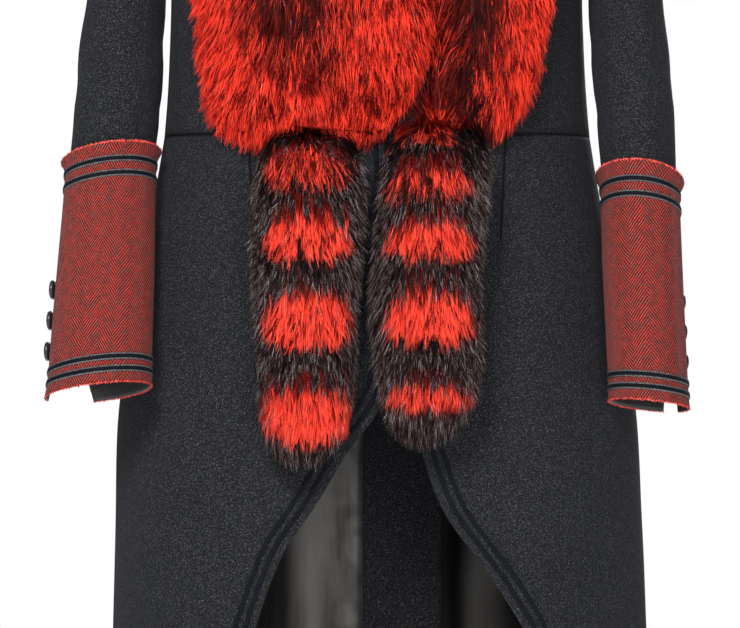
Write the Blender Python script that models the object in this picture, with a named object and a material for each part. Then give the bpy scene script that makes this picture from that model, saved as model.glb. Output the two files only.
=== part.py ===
# A long cashmere coat with a cutaway front, a fur collar that ends in two ringed tails, and
# herringbone cuffs. It is worn, with nobody inside: the cloth is a thin wall, open at the
# neck, the front, the hem, the armholes and the cuffs.
# Metres, +Z up. The origin is between the shoulders, where the wearer holds the coat up.
# The front faces -Y and the wearer's left is +X.
import math
import bpy
import bmesh
from mathutils import Vector

for old in list(bpy.data.objects):
    bpy.data.objects.remove(old, do_unlink=True)

# Cloth thicknesses and the gap that is left at every seam.
WOOL_WALL = 0.002
CUFF_WALL = 0.0016
LINING_WALL = 0.001
SEAM_GAP = 0.0003
HALF_GAP = SEAM_GAP / 2

# Body: sections from the underarm to the hem.
# z, half width, depth of the front, depth of the back
BODY = [
    (-0.160, 0.2070, 0.126, 0.120),
    (-0.200, 0.2070, 0.128, 0.118),
    (-0.235, 0.2060, 0.127, 0.114),
    (-0.284, 0.2050, 0.123, 0.109),
    (-0.334, 0.2070, 0.118, 0.106),
    (-0.379, 0.2090, 0.115, 0.106),
    (-0.422, 0.2125, 0.116, 0.110),
    (-0.460, 0.2185, 0.120, 0.117),
    (-0.540, 0.2330, 0.128, 0.129),
    (-0.620, 0.2475, 0.135, 0.139),
    (-0.700, 0.2590, 0.140, 0.147),
    (-0.800, 0.2625, 0.144, 0.154),
    (-0.912, 0.2660, 0.147, 0.160),
    (-1.130, 0.2720, 0.151, 0.168),
]
SQUARENESS = 2.2
WAIST_Z = -0.422
UNDERARM_Z = -0.200
HEM_Z = -1.130

# Shoulders and neck.
NECK_HALF_WIDTH = 0.075
FRONT_NECK_DROP = 0.100
BACK_NECK_DROP = 0.022
SHOULDER_SLOPE = 0.37
SHOULDER_ROUND_Z = -0.140

# Armhole edge: how far up from the underarm (0) to the shoulder seam (1), and how far out
# the edge lies as a share of the body's half width.
ARMHOLE = [
    (0.00, 1.000),
    (0.06, 0.985),
    (0.16, 0.950),
    (0.28, 0.915),
    (0.42, 0.892),
    (0.56, 0.882),
    (0.70, 0.882),
    (0.82, 0.888),
    (0.92, 0.896),
    (0.98, 0.903),
    (1.00, 0.906),
]

# Front edges of the skirt: z and the x of the edge, measured towards the wearer's own side.
RIGHT_FRONT_EDGE = [
    (-0.422, -0.018),
    (-0.560, -0.018),
    (-0.640, -0.017),
    (-0.672, -0.013),
    (-0.700, 0.003),
    (-0.721, 0.0205),
    (-0.739, 0.036),
    (-0.767, 0.0495),
    (-0.796, 0.068),
    (-0.8146, 0.0835),
    (-0.8284, 0.092),
    (-0.850, 0.100),
    (-0.879, 0.1115),
    (-0.902, 0.1185),
    (-1.000, 0.148),
    (-1.130, 0.176),
]
LEFT_FRONT_EDGE = [
    (-0.422, -0.010),
    (-0.560, -0.008),
    (-0.620, 0.004),
    (-0.672, 0.023),
    (-0.705, 0.036),
    (-0.746, 0.048),
    (-0.778, 0.058),
    (-0.801, 0.0705),
    (-0.8245, 0.089),
    (-0.847, 0.107),
    (-0.8725, 0.123),
    (-0.896, 0.138),
    (-0.960, 0.168),
    (-1.040, 0.190),
    (-1.130, 0.204),
]
# The right front laps over the left one at the middle.
LAP_LIFT = 0.0030
LAP_FADE_START = 0.022
LAP_FADE_END = 0.075

# Centre-back vent: the right half passes under the left half by this much.
VENT_UNDERLAP = 0.066
VENT_STEP = 0.0062
VENT_STEP_IN = 0.008
VENT_STEP_OUT = 0.030
# Inner edges of the two linings, each towards the wearer's own side.
RIGHT_LINING_EDGE = 0.0145
LEFT_LINING_EDGE = 0.030
LINING_DEPTH = 0.0036

SKIRT_ROWS = [-0.422, -0.460, -0.500, -0.560, -0.620, -0.672, -0.700, -0.730, -0.760, -0.790,
              -0.815, -0.840, -0.870, -0.902, -0.960, -1.040, -1.130]
BACK_ROWS = [-0.422, -0.460, -0.500, -0.560, -0.620, -0.700, -0.800, -0.912, -1.020, -1.130]
BODICE_ROWS = [-0.422, -0.379, -0.334, -0.284, -0.235, -0.200]
NECK_COLUMNS = 2
SIDE_COLUMNS = 7
BACK_COLUMNS = 9

# Velvet lines along the front edges.
LINE_DISTANCES = (0.0095, 0.0190)
LINE_WIDTH = 0.0036
LINE_THICKNESS = 0.0010
LINE_SEAT = 0.0009
LEFT_LINES_FROM = -0.672

# Sleeves above the cuffs: z of the ring's middle, x and y of its middle, half width, half
# depth, how much the front of the ring rises and how much its outer side drops.
SLEEVE_POINTS = 20
# The two pieces of the sleeve, between its front seam and its back seam: the top sleeve lies
# outside, the under sleeve faces the body.
SLEEVE_PARTS = {"top": (3, 15), "under": (15, 23)}
RIGHT_SLEEVE = [
    (-0.235, 0.2480, 0.002, 0.0380, 0.0640, 0.00, -0.06),
    (-0.284, 0.2500, -0.008, 0.0405, 0.0590, 0.06, -0.02),
    (-0.344, 0.2546, -0.022, 0.0436, 0.0540, 0.14, 0.05),
    (-0.380, 0.2568, -0.031, 0.0438, 0.0520, 0.20, 0.09),
    (-0.416, 0.2590, -0.042, 0.0434, 0.0480, 0.24, 0.12),
]
LEFT_SLEEVE = [
    (-0.235, 0.2465, 0.002, 0.0370, 0.0640, 0.00, -0.06),
    (-0.284, 0.2480, -0.008, 0.0380, 0.0610, 0.06, -0.02),
    (-0.344, 0.2520, -0.022, 0.0405, 0.0580, 0.14, 0.05),
    (-0.380, 0.2545, -0.031, 0.0404, 0.0560, 0.20, 0.09),
    (-0.425, 0.2566, -0.044, 0.0390, 0.0530, 0.26, 0.11),
]
# Cuffs: the same columns, for the outer face of the cuff. The first two rows are the raw
# edge that stands away from the sleeve.
RIGHT_CUFF = [
    (-0.4440, 0.2622, -0.053, 0.0505, 0.0470, 0.30, 0.13),
    (-0.4500, 0.2624, -0.055, 0.0470, 0.0435, 0.27, 0.12),
    (-0.4570, 0.2626, -0.057, 0.0456, 0.0425, 0.26, 0.12),
    (-0.4900, 0.2636, -0.066, 0.0464, 0.0425, 0.25, 0.12),
    (-0.5450, 0.2653, -0.082, 0.0488, 0.0430, 0.24, 0.12),
    (-0.6233, 0.2683, -0.105, 0.0506, 0.0430, 0.24, 0.12),
    (-0.6600, 0.2696, -0.115, 0.0512, 0.0430, 0.23, 0.12),
    (-0.6737, 0.2706, -0.118, 0.0530, 0.0440, 0.22, 0.12),
]
LEFT_CUFF = [
    (-0.4665, 0.2588, -0.056, 0.0445, 0.0560, 0.34, 0.11),
    (-0.4730, 0.2588, -0.058, 0.0410, 0.0530, 0.31, 0.11),
    (-0.4800, 0.2590, -0.060, 0.0394, 0.0520, 0.28, 0.11),
    (-0.5100, 0.2594, -0.068, 0.0398, 0.0515, 0.25, 0.11),
    (-0.5600, 0.2598, -0.083, 0.0402, 0.0510, 0.20, 0.11),
    (-0.6300, 0.2622, -0.103, 0.0396, 0.0510, 0.14, 0.11),
    (-0.6700, 0.2634, -0.114, 0.0392, 0.0510, 0.12, 0.11),
    (-0.6863, 0.2638, -0.118, 0.0402, 0.0520, 0.12, 0.11),
]
CUFF_CLEARANCE = 0.0014
# Slit at the back of the cuff: degrees round from the inner side, over the front. It runs
# closed from the top down to the first row and then opens towards the hem.
RIGHT_SLIT = [(-0.444, 214.0, 216.0), (-0.560, 213.0, 217.0), (-0.674, 196.0, 262.0)]
LEFT_SLIT = [(-0.466, 224.0, 226.0), (-0.580, 223.0, 227.0), (-0.687, 218.0, 244.0)]
# Velvet tapes round the cuff: distance of each tape's middle from the cuff's own rows.
TOP_TAPES = (0.0075, 0.0215)
BOTTOM_TAPES = (0.0240, 0.0125)
TAPE_WIDTH = 0.0042
TAPE_THICKNESS = 0.0010
CUFF_POINTS = 20

# Cuff buttons.
BUTTON_RADIUS = 0.0095
BUTTON_THICKNESS = 0.0040
BUTTON_STEP = 0.0300
BUTTON_SIDES = 12
BUTTON_SEAT = 0.0005
# Ring height of the top button and the turn of the row round the cuff.
RIGHT_BUTTONS = (-0.5666, 191.0)
LEFT_BUTTONS = (-0.5790, 208.0)

# Fur collar, from its rounded bottom up to the underarm: z, outer edge and inner edge, both
# measured towards the wearer's own side.
RIGHT_FUR = [
    (-0.440, 0.116, 0.012),
    (-0.432, 0.143, -0.005),
    (-0.416, 0.158, -0.019),
    (-0.396, 0.166, -0.032),
    (-0.372, 0.170, -0.043),
    (-0.335, 0.171, -0.050),
    (-0.290, 0.177, -0.054),
    (-0.245, 0.178, -0.045),
    (-0.200, 0.176, -0.025),
]
LEFT_FUR = [
    (-0.432, 0.110, 0.056),
    (-0.424, 0.126, 0.046),
    (-0.408, 0.138, 0.046),
    (-0.388, 0.150, 0.053),
    (-0.362, 0.155, 0.056),
    (-0.335, 0.158, 0.059),
    (-0.290, 0.167, 0.062),
    (-0.245, 0.172, 0.056),
    (-0.200, 0.173, 0.044),
]
# The collar's upper part: share of the way from the underarm to the shoulder seam, outer
# edge, the right part's inner edge and the left part's inner edge.
UPPER_FUR = [
    (0.20, 0.171, -0.004, 0.024),
    (0.42, 0.165, 0.022, 0.030),
    (0.62, 0.159, 0.044, 0.048),
    (0.80, 0.153, 0.062, 0.064),
    (0.93, 0.149, 0.073, 0.074),
    (1.00, 0.148, 0.079, 0.079),
]
FUR_COLUMNS = 8
FUR_SEAT = 0.0050
BACK_FUR_SEAT = 0.0062
FUR_EDGE = 0.010
FUR_HEIGHT = 0.034
# Share of the full height in the lowest rows, where the fur rounds off.
FUR_BOTTOM = (0.40, 0.68, 0.88)
FUR_NECK_SHARE = 0.85
# The collar behind the neck: how far out from the middle, and where its lower edge lies.
BACK_FUR = [
    (0.000, 0.44),
    (0.030, 0.45),
    (0.055, 0.48),
    (0.068, 0.51),
    (0.075, 0.53),
    (0.100, 0.62),
    (0.130, 0.78),
    (0.148, 0.93),
]
BACK_FUR_ROWS = 4

# Tails: z, x of the middle, half width, half depth.
RIGHT_TAIL = [
    (-0.4403, -0.0640, 0.0440, 0.016),
    (-0.4470, -0.0640, 0.0500, 0.024),
    (-0.4580, -0.0643, 0.0545, 0.030),
    (-0.5000, -0.0665, 0.0585, 0.034),
    (-0.5500, -0.0680, 0.0560, 0.034),
    (-0.6000, -0.0685, 0.0520, 0.034),
    (-0.6500, -0.0680, 0.0490, 0.033),
    (-0.6950, -0.0690, 0.0460, 0.032),
    (-0.7200, -0.0700, 0.0400, 0.028),
    (-0.7350, -0.0715, 0.0290, 0.021),
    (-0.7430, -0.0720, 0.0130, 0.010),
]
LEFT_TAIL = [
    (-0.4323, 0.0600, 0.0430, 0.016),
    (-0.4390, 0.0590, 0.0490, 0.024),
    (-0.4520, 0.0575, 0.0540, 0.030),
    (-0.4950, 0.0535, 0.0570, 0.034),
    (-0.5500, 0.0470, 0.0555, 0.034),
    (-0.6000, 0.0450, 0.0570, 0.034),
    (-0.6450, 0.0500, 0.0560, 0.033),
    (-0.6750, 0.0495, 0.0510, 0.031),
    (-0.7020, 0.0460, 0.0400, 0.027),
    (-0.7150, 0.0450, 0.0280, 0.020),
    (-0.7240, 0.0450, 0.0120, 0.010),
]
TAIL_SIDES = 12
TAIL_SEAT = 0.005


# Tables and grids

def table_value(table, column, at):
    """Value of one column at a height or share, on a smooth curve through the rows."""
    rows = sorted(table)
    if at <= rows[0][0]:
        return rows[0][column]
    if at >= rows[-1][0]:
        return rows[-1][column]
    low = max(i for i in range(len(rows) - 1) if rows[i][0] <= at)

    def slope(i):
        before = max(i - 1, 0)
        after = min(i + 1, len(rows) - 1)
        return (rows[after][column] - rows[before][column]) / (rows[after][0] - rows[before][0])

    step = rows[low + 1][0] - rows[low][0]
    u = (at - rows[low][0]) / step
    return ((2 * u**3 - 3 * u**2 + 1) * rows[low][column]
            + (u**3 - 2 * u**2 + u) * step * slope(low)
            + (3 * u**2 - 2 * u**3) * rows[low + 1][column]
            + (u**3 - u**2) * step * slope(low + 1))


def fade(value, start, end):
    """1 before the start, 0 after the end, smooth between."""
    u = min(max((value - start) / (end - start), 0.0), 1.0)
    return 1 - u * u * (3 - 2 * u)


def grid_normals(grid, wrap, flat):
    """Outward directions at the points of a grid. flat zeroes one axis along an edge, so the
    walls of two pieces that meet there stay on their own sides of the seam."""
    rows = len(grid)
    columns = len(grid[0])
    middle = sum((p for row in grid for p in row), Vector()) / (rows * columns)
    normals = []
    for r in range(rows):
        line = []
        for c in range(columns):
            up = grid[min(r + 1, rows - 1)][c] - grid[max(r - 1, 0)][c]
            if wrap:
                along = grid[r][(c + 1) % columns] - grid[r][c - 1]
            else:
                along = grid[r][min(c + 1, columns - 1)] - grid[r][max(c - 1, 0)]
            line.append(along.cross(up).normalized())
        normals.append(line)
    centres = [sum(row, Vector()) / columns for row in grid]
    facing = 0.0
    for r in range(rows):
        for c in range(columns):
            away = grid[r][c] - (centres[r] if wrap else Vector((0, 0, middle.z)))
            facing += away.dot(normals[r][c])
    sign = 1 if facing > 0 else -1
    for r in range(rows):
        for c in range(columns):
            n = normals[r][c] * sign
            for edge, axis in flat.items():
                on_edge = {"bottom": r == 0, "top": r == rows - 1,
                           "start": c == 0, "end": c == columns - 1}[edge]
                if on_edge:
                    n[axis] = 0.0
            normals[r][c] = n.normalized()
    return normals


def moved_grid(grid, distance, wrap=False, flat=None):
    """The grid moved outwards by a distance, or inwards by a negative one."""
    normals = grid_normals(grid, wrap, flat or {})
    return [[p + n * distance for p, n in zip(row, line)] for row, line in zip(grid, normals)]


# Materials and solids

def finish(name, colour, roughness, metallic=0.0):
    """A plain Principled material."""
    material = bpy.data.materials.new(name)
    material.use_nodes = True
    shader = material.node_tree.nodes["Principled BSDF"]
    shader.inputs["Base Color"].default_value = (*colour, 1.0)
    shader.inputs["Roughness"].default_value = roughness
    shader.inputs["Metallic"].default_value = metallic
    material.diffuse_color = (*colour, 1.0)
    return material


WOOL = finish("wool", (0.018, 0.018, 0.024), 0.9)
HERRINGBONE = finish("herringbone", (0.25, 0.03, 0.025), 0.85)
VELVET = finish("velvet", (0.006, 0.008, 0.013), 0.8)
SATIN = finish("satin", (0.11, 0.10, 0.09), 0.4)
FUR = finish("fur", (0.55, 0.03, 0.015), 0.6)
TAIL_FUR = finish("tail_fur", (0.35, 0.03, 0.02), 0.6)
HORN = finish("button_horn", (0.012, 0.012, 0.014), 0.35)


def add_solid(name, points, faces, material):
    """One closed piece from its points and faces, with its faces turned outwards."""
    mesh = bpy.data.meshes.new(name)
    bm = bmesh.new()
    verts = [bm.verts.new(p) for p in points]
    for face in faces:
        bm.faces.new([verts[i] for i in face])
    bmesh.ops.triangulate(bm, faces=[f for f in bm.faces if len(f.verts) > 3])
    bmesh.ops.recalc_face_normals(bm, faces=bm.faces)
    bm.to_mesh(mesh)
    bm.free()
    mesh.materials.append(material)
    mesh.shade_smooth()
    mesh.set_sharp_from_angle(angle=math.radians(40))
    piece = bpy.data.objects.new(name, mesh)
    bpy.context.scene.collection.objects.link(piece)
    return piece


def cloth_solid(name, outer, inner, material, wrap=False):
    """The wall between two equal grids, with the rims that close it."""
    rows = len(outer)
    columns = len(outer[0])
    points = [p for row in outer for p in row] + [p for row in inner for p in row]
    inside = rows * columns

    def at(r, c):
        return r * columns + c % columns

    faces = []
    for r in range(rows - 1):
        for c in range(columns if wrap else columns - 1):
            quad = (at(r, c), at(r, c + 1), at(r + 1, c + 1), at(r + 1, c))
            faces.append(quad)
            faces.append(tuple(i + inside for i in reversed(quad)))
    for r in (0, rows - 1):
        for c in range(columns if wrap else columns - 1):
            quad = (at(r, c), at(r, c + 1), at(r, c + 1) + inside, at(r, c) + inside)
            faces.append(quad if r else tuple(reversed(quad)))
    if not wrap:
        for c in (0, columns - 1):
            for r in range(rows - 1):
                quad = (at(r, c), at(r + 1, c), at(r + 1, c) + inside, at(r, c) + inside)
                faces.append(tuple(reversed(quad)) if c else quad)
    return add_solid(name, points, faces, material)


def cloth_piece(name, grid, wall, material, wrap=False, flat=None):
    """A cloth wall under a grid of outer points."""
    return cloth_solid(name, grid, moved_grid(grid, -wall, wrap, flat), material, wrap)


def lofted_solid(name, rings, material):
    """A full body through closed rings, with both ends capped."""
    count = len(rings[0])
    points = [p for ring in rings for p in ring]
    faces = []
    for r in range(len(rings) - 1):
        for c in range(count):
            d = (c + 1) % count
            faces.append((r * count + c, r * count + d, (r + 1) * count + d, (r + 1) * count + c))
    faces.append(tuple(reversed(range(count))))
    last = (len(rings) - 1) * count
    faces.append(tuple(range(last, last + count)))
    return add_solid(name, points, faces, material)


# The body's surface

def signed_power(value, power):
    return math.copysign(abs(value) ** power, value)


def shoulder_z(x):
    return -SHOULDER_SLOPE * max(abs(x) - NECK_HALF_WIDTH, 0.0)


def top_z(x, back):
    """Upper edge of the bodice: the neckline, then the shoulder seam."""
    share = min(abs(x) / NECK_HALF_WIDTH, 1.0)
    drop = BACK_NECK_DROP if back else FRONT_NECK_DROP
    return shoulder_z(x) - drop * (1 - share**2.2)


def lap_lift(own_x):
    return LAP_LIFT * fade(own_x, LAP_FADE_START, LAP_FADE_END)


def body_point(own_x, z, side, back, lift=0.0):
    """Outer face of the body at a distance from the middle towards the wearer's own side."""
    at = min(z, UNDERARM_Z) if z > UNDERARM_Z else z
    half = table_value(BODY, 1, at)
    depth = table_value(BODY, 3 if back else 2, z)
    share = min(abs(own_x) / half, 1.0)
    y = depth * (1 - share**SQUARENESS) ** (1 / SQUARENESS)
    if z > SHOULDER_ROUND_Z:
        up = (z - SHOULDER_ROUND_Z) / (shoulder_z(own_x) - SHOULDER_ROUND_Z)
        y *= math.sqrt(max(1 - min(up, 1.0) ** 2, 0.0))
    y += lift
    return Vector((side * own_x, y if back else -y, z))


def column_x(angle, z):
    """Distance from the middle at an angle round the section, 90 degrees at the middle."""
    half = table_value(BODY, 1, min(z, UNDERARM_Z))
    return half * signed_power(math.cos(angle), 2 / SQUARENESS)


def column_angle(own_x, z):
    half = table_value(BODY, 1, min(z, UNDERARM_Z))
    return math.acos(signed_power(own_x / half, SQUARENESS / 2))


def column_angles(start, end, z, neck_columns=NECK_COLUMNS, side_columns=SIDE_COLUMNS):
    """Angles of one row's columns, with one column at the side of the neck."""
    neck = column_angle(NECK_HALF_WIDTH, z)
    if start <= neck + 0.02:
        count = neck_columns + side_columns
        return [start + (end - start) * i / count for i in range(count + 1)]
    first = [start + (neck - start) * i / neck_columns for i in range(neck_columns)]
    return first + [neck + (end - neck) * i / side_columns for i in range(side_columns + 1)]


# Bodice

def bodice_grid(side, back):
    """Rows from the waist seam to the shoulder seam, columns from the middle to the side."""
    laps = side < 0 and not back
    if back:
        start_x = HALF_GAP
    else:
        start_x = -0.018 if laps else -0.010
    grid = []
    for z in BODICE_ROWS[:-1]:
        height = z + (HALF_GAP if z == WAIST_Z else 0.0)
        row = []
        for angle in column_angles(column_angle(start_x, z), 0.0, z):
            own_x = column_x(angle, z)
            row.append(body_point(own_x, height, side, back, lap_lift(own_x) if laps else 0.0))
        grid.append(row)
    for share, edge_share in ARMHOLE:
        half = table_value(BODY, 1, UNDERARM_Z)
        edge_x = half * edge_share
        start = column_angle(start_x, UNDERARM_Z)
        end = column_angle(edge_x, UNDERARM_Z) if share else 0.0
        row = []
        for angle in column_angles(start, end, UNDERARM_Z):
            own_x = column_x(angle, UNDERARM_Z)
            z = UNDERARM_Z + share * (top_z(own_x, back) - UNDERARM_Z)
            row.append(body_point(own_x, z, side, back, lap_lift(own_x) if laps else 0.0))
        grid.append(row)
    # Half of the seam's gap at the side seam and at the shoulder seam.
    away = HALF_GAP if back else -HALF_GAP
    for r, row in enumerate(grid):
        if r < len(BODICE_ROWS):
            row[-1].y = away
    for point in grid[-1]:
        if abs(point.y) < HALF_GAP:
            point.y = away
    return grid


def bodice_inner(grid, side):
    """The inner face, kept off the side seam, the shoulder seam and the middle."""
    normals = grid_normals(grid, False, {"bottom": 2, "start": 0})
    underarm = len(BODICE_ROWS) - 1
    inner = []
    for r, row in enumerate(grid):
        line = []
        for c, point in enumerate(row):
            n = normals[r][c].copy()
            on_side = c == len(row) - 1 and r <= underarm
            on_shoulder = r == len(grid) - 1 and abs(point.x) > NECK_HALF_WIDTH - 0.001
            if on_side or on_shoulder:
                n.y = 0.0
                n.normalize()
            line.append(point - n * WOOL_WALL)
        inner.append(line)
    return inner


SIDES = {"right": -1, "left": 1}
bodice = {}
for word, side in SIDES.items():
    for face, back in (("front", False), ("back", True)):
        grid = bodice_grid(side, back)
        bodice[word, face] = grid
        cloth_solid(f"bodice_{face}_{word}", grid, bodice_inner(grid, side), WOOL)


# Skirt

def skirt_front_grid(side):
    table = RIGHT_FRONT_EDGE if side < 0 else LEFT_FRONT_EDGE
    grid = []
    for z in SKIRT_ROWS:
        height = z - (HALF_GAP if z == WAIST_Z else 0.0)
        edge_x = table_value(table, 1, z)
        start = column_angle(edge_x, z)
        row = []
        for i in range(NECK_COLUMNS + SIDE_COLUMNS + 1):
            angle = start * (1 - i / (NECK_COLUMNS + SIDE_COLUMNS))
            own_x = column_x(angle, z)
            row.append(body_point(own_x, height, side, False, lap_lift(own_x) if side < 0 else 0.0))
        row[-1].y = -HALF_GAP
        grid.append(row)
    return grid


def vent_step(own_x, side):
    return VENT_STEP * fade(own_x, VENT_STEP_IN, VENT_STEP_OUT) if side < 0 else 0.0


def skirt_back_grid(side):
    """The right half runs on past the middle, one step further in, as the vent's underlap."""
    grid = []
    for z in BACK_ROWS:
        height = z - (HALF_GAP if z == WAIST_Z else 0.0)
        row = []
        if side < 0:
            stops = [-VENT_UNDERLAP, -0.040, -0.015, VENT_STEP_IN, 0.019, VENT_STEP_OUT]
        else:
            stops = [-0.006, 0.012]
        last = column_angle(stops[-1], z)
        angles = [column_angle(x, z) for x in stops[:-1]]
        count = BACK_COLUMNS if side > 0 else BACK_COLUMNS - 2
        angles += [last * (1 - i / count) for i in range(count + 1)]
        for angle in angles:
            own_x = column_x(angle, z)
            row.append(body_point(own_x, height, side, True, -vent_step(own_x, side)))
        row[-1].y = HALF_GAP
        grid.append(row)
    return grid


skirt_front = {}
skirt_back = {}
for word, side in SIDES.items():
    skirt_front[word] = skirt_front_grid(side)
    cloth_piece(f"skirt_front_{word}", skirt_front[word], WOOL_WALL, WOOL,
                flat={"top": 2, "bottom": 2, "end": 1})
    skirt_back[word] = skirt_back_grid(side)
    cloth_piece(f"skirt_back_{word}", skirt_back[word], WOOL_WALL, WOOL,
                flat={"top": 2, "bottom": 2, "end": 1})


# Satin lining of the two back halves. The right one stops where the vent's wool facing begins.

def lining_grid(side):
    grid = []
    for z in BACK_ROWS:
        height = z - 0.004 if z == WAIST_Z else z + (0.018 if z == HEM_Z else 0.0)
        first = column_angle(RIGHT_LINING_EDGE if side < 0 else LEFT_LINING_EDGE, z)
        last = column_angle(table_value(BODY, 1, z) * 0.97, z)
        row = []
        for i in range(BACK_COLUMNS - 2):
            angle = first + (last - first) * i / (BACK_COLUMNS - 3)
            own_x = column_x(angle, z)
            row.append(body_point(own_x, height, side, True, -vent_step(own_x, side)))
        grid.append(row)
    return grid


for word, side in SIDES.items():
    grid = lining_grid(side)
    outer = moved_grid(grid, -LINING_DEPTH, False, {"top": 2, "bottom": 2})
    cloth_piece(f"lining_back_{word}", outer, LINING_WALL, SATIN, flat={"top": 2, "bottom": 2})


# Velvet lines along the cutaway edges. The left ones start where the lap over them ends.

def point_along(row, distance):
    """A point on a row of panel points at a distance from its first one."""
    left = distance
    for a, b in zip(row, row[1:]):
        length = (b - a).length
        if left <= length:
            return a.lerp(b, left / length)
        left -= length
    return row[-1].copy()


for word, side in SIDES.items():
    panel = skirt_front[word]
    if side > 0:
        panel = panel[SKIRT_ROWS.index(LEFT_LINES_FROM):]
    for number, distance in enumerate(LINE_DISTANCES, start=1):
        base = []
        for r, row in enumerate(panel):
            above = panel[max(r - 1, 0)][0]
            below = panel[min(r + 1, len(panel) - 1)][0]
            run = below - above
            stretch = run.length / max(abs(run.z), 1e-6)
            near = point_along(row, (distance - LINE_WIDTH / 2) * stretch)
            far = point_along(row, (distance + LINE_WIDTH / 2) * stretch)
            base.append([near, far])
        lower = moved_grid(base, LINE_SEAT)
        upper = moved_grid(base, LINE_SEAT + LINE_THICKNESS)
        cloth_solid(f"front_line_{word}_{number}", upper, lower, VELVET)


# Sleeves and cuffs

def ring(table, at, side, angles, out=0.0):
    """Points of one ring: 0 degrees at the inner side, 90 in front, 180 at the outer side."""
    x, y, half, depth, rise, drop = (table_value(table, i, at) for i in range(1, 7))
    points = []
    for angle in angles:
        a = math.radians(angle)
        own_x = x - (half + out) * math.cos(a)
        fore = (depth + out) * math.sin(a)
        z = at + rise * fore + drop * (half + out) * math.cos(a)
        points.append(Vector((side * own_x, y - fore, z)))
    return points


def armhole_loop(word):
    """The armhole's edge from the underarm, up the front, over the shoulder and down the back."""
    underarm = len(BODICE_ROWS) - 1
    front = [row[-1] for row in bodice[word, "front"][underarm:]]
    back = [row[-1] for row in bodice[word, "back"][underarm:]]
    tip = (front[-1] + back[-1]) / 2
    start = (front[0] + back[0]) / 2
    return [start] + front[1:-1] + [tip] + back[-2:0:-1]


def sleeve_grid(word, side, table, cuff):
    turns = [360 * i / SLEEVE_POINTS for i in range(SLEEVE_POINTS)]
    armhole = [p + Vector((side * SEAM_GAP, 0, 0)) for p in armhole_loop(word)]
    first = ring(table, table[0][0], side, turns)
    grid = [armhole]
    for share in (0.16, 0.36, 0.58, 0.80):
        row = []
        for a, b in zip(armhole, first):
            bend = Vector((a.x + 0.85 * (b.x - a.x), (a.y + b.y) / 2, a.z + 0.15 * (b.z - a.z)))
            row.append((1 - share) ** 2 * a + 2 * share * (1 - share) * bend + share**2 * b)
        grid.append(row)
    for line in table:
        grid.append(ring(table, line[0], side, turns))
    inside = -(CUFF_WALL + CUFF_CLEARANCE)
    for line in cuff[2:-2]:
        grid.append(ring(cuff, line[0], side, turns, inside))
    grid.append(ring(cuff, cuff[-2][0] + 0.004, side, turns, inside))
    return grid


def sleeve_part(grid, first, last):
    """The points between two of the sleeve's lengthwise seams, half a gap off each."""
    part = []
    for row in grid:
        line = [row[i % SLEEVE_POINTS].copy() for i in range(first, last + 1)]
        line[0] += (line[1] - line[0]).normalized() * HALF_GAP
        line[-1] += (line[-2] - line[-1]).normalized() * HALF_GAP
        part.append(line)
    return part


def slit_turns(slit, at, count):
    """Angles of a cuff's columns, from the slit's one edge round the arm to its other edge."""
    first = table_value([(z, b) for z, a, b in slit], 1, at)
    last = table_value([(z, a + 360) for z, a, b in slit], 1, at)
    return [first + (last - first) * i / count for i in range(count + 1)]


ARMS = {
    "right": (-1, RIGHT_SLEEVE, RIGHT_CUFF, RIGHT_SLIT),
    "left": (1, LEFT_SLEEVE, LEFT_CUFF, LEFT_SLIT),
}
for word, (side, sleeve, cuff, slit) in ARMS.items():
    outer = sleeve_grid(word, side, sleeve, cuff)
    inner = moved_grid(outer, -WOOL_WALL, True, {"bottom": 0})
    for part, (first, last) in SLEEVE_PARTS.items():
        cloth_solid(f"sleeve_{part}_{word}", sleeve_part(outer, first, last),
                    sleeve_part(inner, first, last), WOOL)
    grid = [ring(cuff, line[0], side, slit_turns(slit, line[0], CUFF_POINTS)) for line in cuff]
    cloth_piece(f"cuff_{word}", grid, CUFF_WALL, HERRINGBONE)

    # Two tapes under the raw top edge and two above the hem.
    top = cuff[1][0]
    hem = cuff[-1][0]
    middles = [top - d for d in TOP_TAPES] + [hem + d for d in BOTTOM_TAPES]
    for number, middle in enumerate(middles, start=1):
        base = []
        for z in (middle + TAPE_WIDTH / 2, middle - TAPE_WIDTH / 2):
            turns = slit_turns(slit, z, CUFF_POINTS)
            base.append(ring(cuff, z, side, turns[:1] + turns[1:-1] + turns[-1:]))
        lower = moved_grid(base, 0.0006)
        upper = moved_grid(base, 0.0006 + TAPE_THICKNESS)
        cloth_solid(f"tape_{word}_{number}", upper, lower, VELVET)


# Cuff buttons along the slit

for word, (side, sleeve, cuff, slit) in ARMS.items():
    top_button, turn = RIGHT_BUTTONS if side < 0 else LEFT_BUTTONS
    for number in range(3):
        z = top_button - BUTTON_STEP * number
        seat = ring(cuff, z, side, [turn])[0]
        beside = ring(cuff, z, side, [turn + 8, turn - 8])
        below = ring(cuff, z - 0.01, side, [turn])[0]
        out = (beside[0] - beside[1]).cross(below - seat).normalized()
        out *= math.copysign(1, out.x * side)
        bm = bmesh.new()
        bmesh.ops.create_cone(bm, cap_ends=True, segments=BUTTON_SIDES, radius1=BUTTON_RADIUS,
                              radius2=BUTTON_RADIUS * 0.86, depth=BUTTON_THICKNESS)
        mesh = bpy.data.meshes.new("cuff_button")
        bm.to_mesh(mesh)
        bm.free()
        mesh.materials.append(HORN)
        mesh.shade_smooth()
        mesh.set_sharp_from_angle(angle=math.radians(40))
        button = bpy.data.objects.new(f"cuff_button_{word}_{number + 1}", mesh)
        button.location = seat + out * (BUTTON_SEAT + BUTTON_THICKNESS / 2)
        button.rotation_mode = "QUATERNION"
        button.rotation_quaternion = out.to_track_quat("Z", "Y")
        bpy.context.scene.collection.objects.link(button)


# Fur collar

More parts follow.
